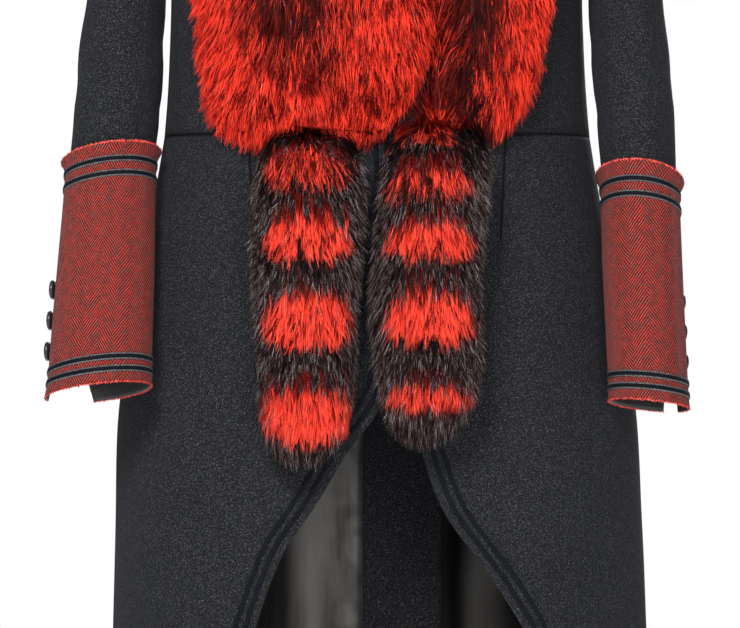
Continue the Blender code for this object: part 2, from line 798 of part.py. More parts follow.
def fur_height(across, neck):
    """Height of the fur over its seat, from the outer edge (0) to the inner edge (1)."""
    lens = (1 - abs(2 * across - 1) ** 2.6) ** 0.7
    return FUR_EDGE + (FUR_HEIGHT - FUR_EDGE) * max(lens, neck * across)


def fur_ring(base, normals, heights, seat):
    """A closed ring: out along the seat, back over the top of the fur."""
    under = [p + n * seat for p, n in zip(base, normals)]
    over = [p + n * (seat + h) for p, n, h in zip(base, normals, heights)]
    return under + over[::-1]


def front_fur(word, side, table):
    base = []
    heights = []
    for number, (z, outer_x, inner_x) in enumerate(table):
        row = []
        start = column_angle(outer_x, z)
        end = column_angle(inner_x, z)
        low = FUR_BOTTOM[number] if number < len(FUR_BOTTOM) else 1.0
        for i in range(FUR_COLUMNS + 1):
            own_x = column_x(start + (end - start) * i / FUR_COLUMNS, z)
            lift = lap_lift(own_x) if side < 0 else LAP_LIFT * fade(own_x, 0.03, 0.08)
            row.append(body_point(own_x, z, side, False, lift))
        base.append(row)
        heights.append([low * fur_height(i / FUR_COLUMNS, 0.0) for i in range(FUR_COLUMNS + 1)])
    for share, outer_x, right_x, left_x in UPPER_FUR:
        row = []
        start = column_angle(outer_x, UNDERARM_Z)
        end = column_angle(right_x if side < 0 else left_x, UNDERARM_Z)
        for i in range(FUR_COLUMNS + 1):
            own_x = column_x(start + (end - start) * i / FUR_COLUMNS, UNDERARM_Z)
            z = UNDERARM_Z + share * (top_z(own_x, False) - UNDERARM_Z)
            lift = lap_lift(own_x) if share < 1 else 0.0
            row.append(body_point(own_x, z, side, False, lift))
        base.append(row)
        neck = FUR_NECK_SHARE * share
        heights.append([fur_height(i / FUR_COLUMNS, neck) for i in range(FUR_COLUMNS + 1)])
    for point in base[-1]:
        point.y = -HALF_GAP
    normals = grid_normals(base, False, {})
    normals[-1] = [Vector((n.x, 0, n.z)).normalized() for n in normals[-1]]
    rings = [fur_ring(*rows, FUR_SEAT) for rows in zip(base, normals, heights)]
    for point in rings[0]:
        point.z = table[0][0]
    lofted_solid(f"fur_collar_{word}", rings, FUR)


front_fur("right", -1, RIGHT_FUR)
front_fur("left", 1, LEFT_FUR)


def back_fur():
    """Behind the neck: columns run across from shoulder to shoulder, rows up to the neck."""
    half = [x for x, low in BACK_FUR]
    across = [-x for x in half[:0:-1]] + half
    base = []
    heights = []
    for x in across:
        low = table_value(BACK_FUR, 1, abs(x))
        end = fade(abs(x), 0.110, 0.150)
        row = []
        line = []
        for i in range(BACK_FUR_ROWS + 1):
            up = i / BACK_FUR_ROWS
            share = low + (1 - low) * up
            z = UNDERARM_Z + share * (top_z(x, True) - UNDERARM_Z)
            row.append(body_point(x, z, 1, True))
            body = 1 - (1 - up) ** 2.6
            line.append(FUR_EDGE + (FUR_HEIGHT * FUR_NECK_SHARE - FUR_EDGE) * body * end)
        if abs(x) >= NECK_HALF_WIDTH:
            row[-1].y = HALF_GAP
        base.append(row)
        heights.append(line)
    normals = grid_normals(base, False, {})
    for line, x in zip(normals, across):
        if abs(x) >= NECK_HALF_WIDTH:
            line[-1] = Vector((line[-1].x, 0, line[-1].z)).normalized()
    rings = [fur_ring(*rows, BACK_FUR_SEAT) for rows in zip(base, normals, heights)]
    lofted_solid("fur_collar_back", rings, FUR)


back_fur()


# Ringed tails, hanging from the collar's two ends

def tail(word, table):
    rings = []
    for z, x, half, depth in table:
        nearest = x * 0.5
        front = body_point(nearest, z, 1, False, LAP_LIFT).y
        middle = front - TAIL_SEAT - depth
        points = []
        for i in range(TAIL_SIDES):
            a = 2 * math.pi * i / TAIL_SIDES
            points.append(Vector((x + half * math.cos(a), middle + depth * math.sin(a), z)))
        rings.append(points)
    lofted_solid(f"fur_tail_{word}", rings, TAIL_FUR)


tail("right", RIGHT_TAIL)
tail("left", LEFT_TAIL)
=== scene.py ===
# The look of a long cashmere coat: dark felted wool, herringbone cuffs with raw edges, velvet
# tapes, a satin lining and a dyed fur collar that ends in two ringed tails.
import math

import bmesh
import bpy
import numpy as np
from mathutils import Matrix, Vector, noise
from mathutils.bvhtree import BVHTree
from mathutils.kdtree import KDTree


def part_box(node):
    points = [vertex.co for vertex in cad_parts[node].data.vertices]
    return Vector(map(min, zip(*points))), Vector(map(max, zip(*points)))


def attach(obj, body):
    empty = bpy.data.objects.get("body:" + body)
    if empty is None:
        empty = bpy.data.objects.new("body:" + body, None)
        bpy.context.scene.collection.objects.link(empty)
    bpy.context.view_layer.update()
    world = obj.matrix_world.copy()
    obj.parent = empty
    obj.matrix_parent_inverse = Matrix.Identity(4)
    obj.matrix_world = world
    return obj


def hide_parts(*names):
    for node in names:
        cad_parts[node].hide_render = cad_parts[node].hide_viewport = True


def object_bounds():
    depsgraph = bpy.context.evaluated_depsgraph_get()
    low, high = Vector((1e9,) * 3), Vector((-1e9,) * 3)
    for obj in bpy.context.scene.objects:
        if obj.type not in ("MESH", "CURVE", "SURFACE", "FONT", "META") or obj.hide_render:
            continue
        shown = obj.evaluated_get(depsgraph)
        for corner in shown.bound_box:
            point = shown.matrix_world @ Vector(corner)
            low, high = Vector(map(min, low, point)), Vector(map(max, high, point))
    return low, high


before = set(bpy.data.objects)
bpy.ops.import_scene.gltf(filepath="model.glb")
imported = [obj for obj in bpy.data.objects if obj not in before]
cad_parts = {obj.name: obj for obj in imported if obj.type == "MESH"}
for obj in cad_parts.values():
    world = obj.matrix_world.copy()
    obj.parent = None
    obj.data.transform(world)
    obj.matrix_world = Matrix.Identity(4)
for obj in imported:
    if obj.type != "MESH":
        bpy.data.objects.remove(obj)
cad_box = [list(corner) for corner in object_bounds()]

# Studio: a pale floor well below the hem, a white surround, three large soft lights, and a long
# lens level with the cuffs, four metres in front of the coat.
VIEW_CENTRE = Vector((-0.007, 0.0, -0.598))
VIEW_DISTANCE = 4.0
FRAME_WIDTH = 0.740
SENSOR_WIDTH = 36.0
FLOOR_Z = -1.60
FLOOR_HALF_SIDE = 6.0
FLOOR_GLOW = 0.72
SURROUND_SEEN = 1.0
SURROUND_LIGHT = 0.14


def add_object(name, data):
    """A new object, linked to the scene."""
    made = bpy.data.objects.new(name, data)
    bpy.context.scene.collection.objects.link(made)
    return made


camera_data = bpy.data.cameras.new("camera")
camera_data.sensor_fit = "HORIZONTAL"
camera_data.sensor_width = SENSOR_WIDTH
camera_data.lens = SENSOR_WIDTH * VIEW_DISTANCE / FRAME_WIDTH
camera_data.clip_end = 50.0
camera = add_object("camera", camera_data)
camera.location = VIEW_CENTRE + Vector((0, -VIEW_DISTANCE, 0))
camera.rotation_euler = (math.pi / 2, 0, 0)
bpy.context.scene.camera = camera

floor_mesh = bpy.data.meshes.new("floor")
bm = bmesh.new()
bmesh.ops.create_grid(bm, x_segments=1, y_segments=1, size=FLOOR_HALF_SIDE)
bmesh.ops.translate(bm, verts=bm.verts, vec=(0, 0, FLOOR_Z))
bm.to_mesh(floor_mesh)
bm.free()
floor = add_object("floor", floor_mesh)
floor_paint = bpy.data.materials.new("floor_paint")
floor_paint.use_nodes = True
floor_surface = floor_paint.node_tree.nodes["Principled BSDF"]
floor_surface.inputs["Base Color"].default_value = (0.8, 0.8, 0.8, 1)
floor_surface.inputs["Roughness"].default_value = 0.8
floor_surface.inputs["Emission Color"].default_value = (1, 1, 1, 1)
floor_surface.inputs["Emission Strength"].default_value = FLOOR_GLOW
floor_mesh.materials.append(floor_paint)

# The surround is seen white, and lights the coat less than it shows.
world = bpy.data.worlds.new("surround")
world.use_nodes = True
seen = world.node_tree.nodes.new("ShaderNodeLightPath").outputs["Is Camera Ray"]
strength = world.node_tree.nodes.new("ShaderNodeMapRange")
world.node_tree.links.new(seen, strength.inputs["Value"])
strength.inputs["To Min"].default_value = SURROUND_LIGHT
strength.inputs["To Max"].default_value = SURROUND_SEEN
backdrop = world.node_tree.nodes["Background"]
world.node_tree.links.new(strength.outputs[0], backdrop.inputs["Strength"])
backdrop.inputs["Color"].default_value = (1, 1, 1, 1)
bpy.context.scene.world = world
bpy.context.scene.view_settings.view_transform = "Standard"


def soft_light(name, place, size, power):
    """A large square light that faces the coat."""
    data = bpy.data.lights.new(name, "AREA")
    data.shape = "SQUARE"
    data.size = size
    data.energy = power
    light = add_object(name, data)
    light.location = place
    light.rotation_euler = (VIEW_CENTRE - Vector(place)).to_track_quat("-Z", "Y").to_euler()


soft_light("key_light", (-0.7, -2.7, 1.3), size=0.9, power=162)
soft_light("fill_light", (0.6, -3.6, -0.1), size=1.2, power=86)
soft_light("back_light", (0.7, 3.2, 0.9), size=1.4, power=150)

# Coat body: four bodice pieces and four skirt pieces of thick felted cashmere wool, cut to
# shape, seamed at the sides, shoulders, waist and centre back, and pressed flat at the seams.
# Each is a thin wall on its solid, with a finer surface and soft hanging folds.
WOOL_BASE = (0.0040, 0.0042, 0.0052)
WOOL_FLECK = (0.070, 0.072, 0.080)
FIBRE_SCALE = 900
MATTED_SCALE = 380
CLOUDY_SCALE = 9
WAIST_Z = -0.422
WAIST_GROOVE = (0.0030, 0.0022)  # half width and depth
DART_AT_WAIST_X = 0.1255
DART_CLOSES_IN = 0.055  # sideways for each metre down
DART_ENDS = (0.085, 0.125)  # below the waist, where it fades out
DART_GROOVE = (0.0024, 0.0018)
# Painted shade along the seam and dart grooves.
GROOVE_PAINTED_SHADE = (0.0008, 0.0008, 0.0009)
SHARP_EDGE = math.radians(50)


class Shader:
    """A Principled material and short calls for the nodes that feed it."""

    def __init__(self, name, roughness, specular=0.5):
        self.material = bpy.data.materials.new(name)
        self.material.use_nodes = True
        self.tree = self.material.node_tree
        self.surface = self.tree.nodes["Principled BSDF"]
        self.surface.inputs["Roughness"].default_value = roughness
        self.surface.inputs["Specular IOR Level"].default_value = specular
        self.height = None

    def node(self, kind, **settings):
        made = self.tree.nodes.new(kind)
        for key, value in settings.items():
            setattr(made, key, value)
        return made

    def link(self, source, target):
        self.tree.links.new(source, target)

    def fill(self, socket, value):
        """Link a socket or set a constant."""
        if isinstance(value, bpy.types.NodeSocket):
            self.link(value, socket)
        else:
            socket.default_value = value

    def math(self, operation, *values):
        made = self.node("ShaderNodeMath", operation=operation)
        for socket, value in zip(made.inputs, values):
            self.fill(socket, value)
        return made.outputs[0]

    def place(self):
        return self.node("ShaderNodeTexCoord").outputs["Object"]

    def axis(self, vector, index):
        split = self.node("ShaderNodeSeparateXYZ")
        self.link(vector, split.inputs[0])
        return split.outputs[index]

    def stretched(self, vector, scale):
        mapping = self.node("ShaderNodeMapping")
        self.link(vector, mapping.inputs["Vector"])
        mapping.inputs["Scale"].default_value = scale
        return mapping.outputs[0]

    def noise(self, vector, scale, detail=3.0, roughness=0.55, distortion=0.0):
        made = self.node("ShaderNodeTexNoise")
        self.link(vector, made.inputs["Vector"])
        made.inputs["Scale"].default_value = scale
        made.inputs["Detail"].default_value = detail
        made.inputs["Roughness"].default_value = roughness
        made.inputs["Distortion"].default_value = distortion
        return made.outputs["Fac"]

    def ramp(self, value, stops):
        """Colours along a value: (position, colour) stops."""
        made = self.node("ShaderNodeValToRGB")
        self.link(value, made.inputs[0])
        points = made.color_ramp.elements
        points[0].position, points[0].color = stops[0][0], (*stops[0][1], 1)
        points[1].position, points[1].color = stops[1][0], (*stops[1][1], 1)
        for position, colour in stops[2:]:
            points.new(position).color = (*colour, 1)
        return made.outputs[0]

    def mix(self, share, first, second):
        made = self.node("ShaderNodeMix", data_type="RGBA")
        self.fill(made.inputs["Factor"], share)
        for socket, value in ((made.inputs["A"], first), (made.inputs["B"], second)):
            self.fill(socket, (*value, 1) if isinstance(value, tuple) else value)
        return made.outputs["Result"]

    def window(self, value, low, high):
        """0 below low, 1 above high, smooth between."""
        made = self.node("ShaderNodeMapRange", interpolation_type="SMOOTHSTEP")
        self.link(value, made.inputs["Value"])
        made.inputs["From Min"].default_value = low
        made.inputs["From Max"].default_value = high
        return made.outputs[0]

    def colour(self, value):
        self.fill(self.surface.inputs["Base Color"], value)

    def speckle(self, fleck, low, high, first, second):
        """Colour it from the first shade to the second as the fleck goes from low to high."""
        self.colour(self.mix(self.window(fleck, low, high), first, second))

    def bump(self, height, distance, strength=1.0):
        """Adds one relief, in metres, over those before it."""
        made = self.node("ShaderNodeBump")
        made.inputs["Distance"].default_value = distance
        made.inputs["Strength"].default_value = strength
        self.link(height, made.inputs["Height"])
        if self.height:
            self.link(self.height, made.inputs["Normal"])
        self.height = made.outputs[0]
        self.link(self.height, self.surface.inputs["Normal"])

    def sheen(self, weight, roughness, tint):
        self.surface.inputs["Sheen Weight"].default_value = weight
        self.surface.inputs["Sheen Roughness"].default_value = roughness
        self.surface.inputs["Sheen Tint"].default_value = (*tint, 1)


def wool_material(name):
    """Dark felted wool: fine pale fibres over a matted ground, a little cloudy."""
    wool = Shader(name, 0.95, specular=0.12)
    where = wool.place()
    fleck = wool.noise(where, FIBRE_SCALE, 3.0, 0.75)
    cloudy = wool.noise(where, CLOUDY_SCALE, 3.0, 0.6)
    matted = wool.noise(where, MATTED_SCALE, 3.0, 0.7, 0.6)
    fibre = wool.window(fleck, 0.515, 0.70)
    base = wool.mix(cloudy, tuple(0.72 * c for c in WOOL_BASE), tuple(1.3 * c for c in WOOL_BASE))
    wool.colour(wool.mix(fibre, base, WOOL_FLECK))
    wool.sheen(0.015, 0.5, (0.75, 0.8, 1.0))
    wool.bump(matted, 0.0010, 0.7)
    wool.bump(fleck, 0.0008, 0.7)
    return wool


def seam_relief(wool):
    """The waist seam and the front darts as grooves in the cloth, with painted shade that darkens the
    grooves.
    """
    where = wool.place()
    from_waist = wool.math("ABSOLUTE", wool.math("SUBTRACT", wool.axis(where, 2), WAIST_Z))
    groove = wool.math("MINIMUM", wool.math("DIVIDE", from_waist, WAIST_GROOVE[0]), 1.0)
    wool.bump(groove, WAIST_GROOVE[1], 1.0)
    across = wool.math("ABSOLUTE", wool.axis(where, 0))
    down = wool.math("SUBTRACT", WAIST_Z, wool.axis(where, 2))
    dart_x = wool.math("SUBTRACT", DART_AT_WAIST_X, wool.math("MULTIPLY", down, DART_CLOSES_IN))
    line = wool.math("SUBTRACT", across, dart_x)
    near = wool.math("MINIMUM", wool.math("DIVIDE", wool.math("ABSOLUTE", line), DART_GROOVE[0]), 1.0)
    ends = wool.window(down, *DART_ENDS)
    front = wool.math("GREATER_THAN", wool.axis(where, 1), 0.0)
    dart = wool.math("MAXIMUM", wool.math("MAXIMUM", near, ends), front)
    wool.bump(dart, DART_GROOVE[1], 1.0)
    cloth = wool.surface.inputs["Base Color"].links[0].from_socket
    # Painted shade: the wool's colour goes near black along the seam and dart grooves.
    painted_groove_shade = wool.window(wool.math("MINIMUM", groove, dart), 0.15, 0.75)
    wool.colour(wool.mix(painted_groove_shade, GROOVE_PAINTED_SHADE, cloth))


coat_wool = wool_material("coat_wool")
seam_relief(coat_wool)


def fine_cloth(node, name, levels):
    """A finer copy of a cloth solid: its triangles paired into squares, its rims kept sharp,
    and its faces smoothed."""
    bm = bmesh.new()
    bm.from_mesh(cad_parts[node].data)
    bmesh.ops.remove_doubles(bm, verts=bm.verts, dist=1e-6)
    bmesh.ops.join_triangles(bm, faces=bm.faces, angle_face_threshold=math.radians(40),
                             angle_shape_threshold=math.radians(70))
    crease = bm.edges.layers.float.new("crease_edge")
    for edge in bm.edges:
        if len(edge.link_faces) == 2 and edge.calc_face_angle(0) > SHARP_EDGE:
            edge[crease] = 1.0
    mesh = bpy.data.meshes.new(name)
    bm.to_mesh(mesh)
    bm.free()
    piece = add_object(name, mesh)
    smooth = piece.modifiers.new("smooth", "SUBSURF")
    smooth.levels = smooth.render_levels = levels
    depsgraph = bpy.context.evaluated_depsgraph_get()
    finished = bpy.data.meshes.new_from_object(piece.evaluated_get(depsgraph))
    piece.modifiers.clear()
    piece.data = finished
    finished.name = name
    finished.shade_smooth()
    finished.set_sharp_from_angle(angle=SHARP_EDGE)
    finished.materials.clear()
    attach(piece, "root")
    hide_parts(node)
    return piece


def move_points(piece, shift):
    """Move each point by what shift gives for its place."""
    for vertex in piece.data.vertices:
        vertex.co += shift(vertex.co)
    piece.data.update()


def ease(value, start, end):
    """0 at the start, 1 at the end, smooth between."""
    u = min(max((value - start) / (end - start), 0.0), 1.0)
    return u * u * (3 - 2 * u)


FOLD_REACH = (0.46, 1.10)  # below the shoulders: where the folds start, and are deepest
FOLD_WAVES = [(7, 0.6, 0.0042), (12, 2.1, 0.0028)]  # number round the coat, turn, depth
UNEVEN = 0.0035
RUMPLED = 0.0009


def hanging_folds(place):
    """Long shallow folds of the skirt, deeper towards the hem, and a slight unevenness."""
    down = ease(-place.z, *FOLD_REACH)
    turn = math.atan2(place.y, place.x)
    wave = sum(depth * math.sin(count * turn + start) for count, start, depth in FOLD_WAVES)
    slow = noise.noise(Vector((place.x * 5, place.y * 5, place.z * 3.2))) * UNEVEN
    small = noise.noise(Vector((place.x * 17, place.y * 17, place.z * 9))) * RUMPLED
    out = Vector((place.x, place.y * 1.6, 0)).normalized()
    return out * (down * wave + (0.25 + 0.75 * down) * slow + small)


CENTRE_SEAM_REACH = 0.0025


def centre_seam(place):
    """Draws the two halves of the back together at the centre seam."""
    if abs(place.x) > CENTRE_SEAM_REACH or place.y < 0:
        return Vector((0, 0, 0))
    return Vector((-place.x, 0, 0))


BODY_CUTS = {  # width, length and cut area of each panel
    ("bodice_front", "right"): (0.290, 0.430, 0.108), ("bodice_front", "left"): (0.282, 0.430, 0.105),
    ("bodice_back", "right"): (0.265, 0.430, 0.103), ("bodice_back", "left"): (0.265, 0.430, 0.103),
    ("skirt_front", "right"): (0.336, 0.715, 0.185), ("skirt_front", "left"): (0.308, 0.715, 0.170),
    ("skirt_back", "right"): (0.422, 0.715, 0.280), ("skirt_back", "left"): (0.362, 0.715, 0.237),
}
SIDES = {"right": -1, "left": 1}
for (part, side), (width, length, cut_area) in BODY_CUTS.items():
    piece = fine_cloth(f"{part}_{side}", f"{part}_cloth_{side}", 2 if "bodice" in part else 3)
    move_points(piece, hanging_folds)
    if part == "bodice_back":
        move_points(piece, centre_seam)
    piece.data.materials.append(coat_wool.material)

# Sleeves: a top and an under piece each, of the same wool, set into the armhole and slightly
# bent at the elbow, where the cloth folds a little.
SLEEVE_CUTS = {"top": (0.205, 0.660, 0.111), "under": (0.135, 0.585, 0.062)}
# Soft folds across each sleeve: height, slope outwards, half height, depth.
SLEEVE_FOLDS = [(-0.205, 0.35, 0.022, 0.0026), (-0.262, -0.25, 0.020, 0.0020),
                (-0.318, 0.30, 0.016, 0.0022), (-0.352, -0.40, 0.012, 0.0016),
                (-0.398, 0.20, 0.012, 0.0014)]
SLEEVE_MIDDLE_X = 0.25
SLEEVE_FOLDS_HELD = ((0.10, 0.16), (0.41, 0.46))  # down the sleeve, where the folds come and go
sleeve_wool = wool_material("sleeve_wool")


def sleeve_folds(place):
    """Shallow hollows that run aslant across the sleeve."""
    aside = abs(place.x) - SLEEVE_MIDDLE_X
    out = Vector((math.copysign(aside, place.x * aside), place.y + 0.03, 0)).normalized()
    inward = 0.0
    for z, slope, half, depth in SLEEVE_FOLDS:
        off = place.z - z - slope * aside + 0.25 * place.y
        round_arm = 0.5 + 0.5 * math.sin(3 * place.y / 0.05 + 40 * z)
        inward += depth * math.exp(-(off / half) ** 2) * (0.4 + 0.6 * round_arm)
    slow = noise.noise(place * 14) * 0.0012
    come, go = SLEEVE_FOLDS_HELD
    held = ease(-place.z, *come) * (1 - ease(-place.z, *go))
    return out * held * (slow - inward)


for side in SIDES:
    for part, (width, length, cut_area) in SLEEVE_CUTS.items():
        piece = fine_cloth(f"sleeve_{part}_{side}", f"sleeve_{part}_cloth_{side}", 2)
        move_points(piece, sleeve_folds)
        piece.data.materials.append(sleeve_wool.material)

# Cuffs: deep separate bands of red and charcoal herringbone wool with a thin black lining,
# pulled on over the sleeve end. Both edges are left raw and fray into short threads.
CUFF_AXES = {"right": (Vector((-0.2622, -0.053, -0.444)), Vector((-0.2706, -0.118, -0.674))),
             "left": (Vector((0.2588, -0.056, -0.4665)), Vector((0.2638, -0.118, -0.6863)))}
CUFF_GIRTH_RADIUS = 0.047
RIB = 0.0152
TWILL_PITCH = 0.0041
TWILL_SLOPE = 1.5
RED_YARN = (0.29, 0.017, 0.012)
RED_FUZZ = (0.66, 0.090, 0.068)
DRAB_YARN = (0.15, 0.075, 0.060)
CHARCOAL_YARN = (0.024, 0.016, 0.015)
DARK_RED_YARN = (0.026, 0.003, 0.002)
EDGE_FACING = 0.72  # how squarely a face looks along the arm to be a raw edge
THREADS_PER_CUFF = 2600
THREAD_HALF_LENGTHS = (0.0008, 0.0028)
THREAD_WIDTHS = (0.0004, 0.0009)


def cuff_axis(side):
    """The upper end of a cuff's middle line and the direction down it."""
    top, bottom = CUFF_AXES[side]
    return top, (bottom - top).normalized()


def round_cuff(place, side):
    """Turn round the cuff from its front, distance down its axis, and the outward direction."""
    top, axis = cuff_axis(side)
    from_top = place - top
    down = from_top.dot(axis)
    out = from_top - axis * down
    front = (Vector((0, -1, 0)) - axis * Vector((0, -1, 0)).dot(axis)).normalized()
    turn = math.atan2(out.dot(axis.cross(front)), out.dot(front))
    return turn, down, out.normalized()


def chart_cuff(piece, side):
    """UV map in metres: round the arm and down the cuff."""
    mesh = piece.data
    chart = mesh.uv_layers.new(name="cloth")
    places = [round_cuff(vertex.co, side)[:2] for vertex in mesh.vertices]
    for face in mesh.polygons:
        middle = round_cuff(face.center, side)[0]
        for loop in face.loop_indices:
            turn, down = places[mesh.loops[loop].vertex_index]
            turn += 2 * math.pi * round((middle - turn) / (2 * math.pi))
            chart.data[loop].uv = (turn * CUFF_GIRTH_RADIUS + 0.5, down + 0.5)


weave = Shader("cuff_herringbone", 0.9, specular=0.15)
chart = weave.node("ShaderNodeUVMap", uv_map="cloth").outputs[0]
warp = weave.noise(chart, 60, 2.0, 0.5)
across = weave.math("ADD", weave.axis(chart, 0), weave.math("MULTIPLY", warp, 0.003))
along = weave.axis(chart, 1)
rib = weave.math("FLOOR", weave.math("DIVIDE", across, RIB))
every_other = weave.math("MODULO", rib, 2.0)
zigzag = weave.math("PINGPONG", across, RIB)
diagonal = weave.math("ADD", along, weave.math("MULTIPLY", zigzag, TWILL_SLOPE))
diagonal = weave.math("ADD", diagonal, weave.math("MULTIPLY", every_other, TWILL_PITCH / 2))
wobble = weave.noise(chart, 700, 2.0, 0.6)
ridges = weave.math("DIVIDE", diagonal, TWILL_PITCH)
phase = weave.math("FRACT", weave.math("ADD", ridges, weave.math("MULTIPLY", wobble, 0.30)))
off_middle = weave.math("ABSOLUTE", weave.math("SUBTRACT", phase, 0.5))
stripe = weave.math("MULTIPLY", off_middle, 2.0)
patches = weave.window(weave.noise(chart, 120, 4.0, 0.7), 0.30, 0.70)
worn = weave.math("ADD", stripe, weave.math("MULTIPLY", patches, 0.16))
red_share = weave.window(worn, 0.63, 0.74)
fuzz = weave.noise(chart, 1500, 2.0, 0.6)
red = weave.mix(patches, tuple(0.55 * c for c in RED_YARN), RED_YARN)
red = weave.mix(weave.window(fuzz, 0.45, 0.75), red, RED_FUZZ)
drab = weave.window(weave.noise(chart, 210, 3.0, 0.7), 0.50, 0.62)
red = weave.mix(weave.math("MULTIPLY", drab, 0.62), red, DRAB_YARN)
dark = weave.mix(fuzz, tuple(0.3 * c for c in CHARCOAL_YARN), tuple(1.2 * c for c in CHARCOAL_YARN))
dark = weave.mix(patches, dark, DARK_RED_YARN)
weave.colour(weave.mix(red_share, dark, red))
weave.sheen(0.05, 0.35, (1.0, 0.80, 0.78))
weave.bump(stripe, 0.0007, 0.8)
weave.bump(fuzz, 0.0005, 0.6)

raw_edge = Shader("cuff_raw_edge", 0.95)
edge_fleck = raw_edge.noise(raw_edge.place(), 900, 2.0, 0.6)
raw_edge.speckle(edge_fleck, 0.35, 0.65, (0.16, 0.02, 0.018), (0.72, 0.045, 0.032))
raw_edge.bump(edge_fleck, 0.001, 0.8)

cuff_lining = Shader("cuff_lining", 0.6)
lining_fleck = cuff_lining.noise(cuff_lining.place(), 400, 2.0, 0.5)
cuff_lining.colour(cuff_lining.mix(lining_fleck, (0.004, 0.004, 0.005), (0.013, 0.012, 0.013)))
cuff_lining.bump(lining_fleck, 0.0005, 0.5)


def skin_points(mesh, count, rng, wanted):
    """Random places on the faces that wanted() picks, and the surface's direction there."""
    mesh.calc_loop_triangles()
    corners = np.array([tri.vertices[:] for tri in mesh.loop_triangles])
    places = np.array([vertex.co[:] for vertex in mesh.vertices])
    outwards = np.array([vertex.normal[:] for vertex in mesh.vertices])
    a, b, c = places[corners[:, 0]], places[corners[:, 1]], places[corners[:, 2]]
    cross = np.cross(b - a, c - a)
    area = np.linalg.norm(cross, axis=1)
    weight = area * wanted((a + b + c) / 3, cross / np.maximum(area, 1e-12)[:, None])
    picked = rng.choice(len(corners), size=count, p=weight / weight.sum())
    share = rng.random((count, 2))
    over = share.sum(axis=1) > 1
    share[over] = 1 - share[over]
    first = 1 - share.sum(axis=1)
    shares = np.column_stack([first, share])[:, :, None]
    spots = (places[corners[picked]] * shares).sum(axis=1)
    ways = (outwards[corners[picked]] * shares).sum(axis=1)
    return spots, ways / np.linalg.norm(ways, axis=1)[:, None]


def unit(rows):
    """Each row at length 1."""
    return rows / np.maximum(np.linalg.norm(rows, axis=1), 1e-12)[:, None]


def blades(name, roots, middles, tips, sides, widths, maps):
    """Flat tapered fibres: a strip from root to middle and a point to the tip. maps gives the
    UV maps, each as a value per fibre; the second number of the first map runs root to tip."""
    count = len(roots)
    half = sides * widths[:, None] / 2
    slimmer = half * 0.85
    places = np.stack([roots - half, roots + half, middles + slimmer, middles - slimmer, tips], axis=1)
    start = np.arange(count)[:, None] * 5
    mesh = bpy.data.meshes.new(name)
    mesh.vertices.add(count * 5)
    mesh.vertices.foreach_set("co", places.reshape(-1))
    corners = np.concatenate([start + [0, 1, 2, 3], start + [3, 2, 4]], axis=1)
    mesh.loops.add(count * 7)
    mesh.loops.foreach_set("vertex_index", corners.reshape(-1).astype(np.int32))
    mesh.polygons.add(count * 2)
    starts = (np.arange(count)[:, None] * 7 + [0, 4]).reshape(-1).astype(np.int32)
    mesh.polygons.foreach_set("loop_start", starts)
    run = np.array([0, 0, 0.5, 0.5, 0.5, 0.5, 1.0])
    for index, (map_name, values) in enumerate(maps.items()):
        layer = mesh.uv_layers.new(name=map_name)
        rows = np.repeat(values[:, None, :], 7, axis=1)
        if index == 0:
            rows[:, :, 1] = run
        layer.data.foreach_set("uv", rows.reshape(-1))
    mesh.update()
    mesh.validate()
    return mesh


yarn = Shader("frayed_yarn", 0.9)
kind = yarn.axis(yarn.node("ShaderNodeUVMap", uv_map="strand").outputs[0], 0)
yarn.colour(yarn.ramp(kind, [(0.0, (0.05, 0.02, 0.018)), (1.0, (0.85, 0.10, 0.07)),
                             (0.28, (0.10, 0.02, 0.018)), (0.36, (0.62, 0.03, 0.022))]))
yarn.bump(yarn.noise(yarn.place(), 1200, 1.0, 0.5), 0.0004, 0.4)
fraying = {}
for number, side in enumerate(SIDES):
    piece = fine_cloth(f"cuff_{side}", f"cuff_cloth_{side}", 2)
    chart_cuff(piece, side)
    for paint in (weave, cuff_lining, raw_edge):
        piece.data.materials.append(paint.material)
    top, axis = cuff_axis(side)
    for face in piece.data.polygons:
        out = round_cuff(face.center, side)[2]
        if abs(face.normal.dot(axis)) > EDGE_FACING:
            face.material_index = 2
        elif face.normal.dot(out) < 0:
            face.material_index = 1
    rng = np.random.default_rng(41 + number)
    way = np.array(axis[:])
    spots, _ = skin_points(piece.data, THREADS_PER_CUFF, rng,
                           lambda middle, normal: abs(normal @ way) > EDGE_FACING)
    outs = np.array([round_cuff(Vector(spot), side)[2][:] for spot in spots])
    ends = np.sign((spots - np.array(top[:])) @ way - 0.1)[:, None]
    reach = rng.uniform(*THREAD_HALF_LENGTHS, len(spots))[:, None]
    lean = rng.normal(0, 0.45, (len(spots), 3))
    first = unit(ends * way + 0.25 * outs + lean * 0.6)
    second = unit(ends * way + 0.35 * outs + lean * 1.4)
    base = spots - ends * way * 0.0008 + outs * rng.uniform(-0.0003, 0.0005, len(spots))[:, None]
    middles = base + first * reach * 0.55
    tips = middles + second * reach * 0.55
    flat_way = unit(np.cross(first, outs))
    seeds = rng.random((len(spots), 2))
    widths = rng.uniform(*THREAD_WIDTHS, len(spots))
    mesh = blades(f"cuff_fraying_{side}", base, middles, tips, flat_way, widths, {"strand": seeds})
    mesh.materials.append(yarn.material)
    threads = add_object(f"cuff_fraying_{side}", mesh)
    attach(threads, "root")
    fraying[side] = (piece, threads)

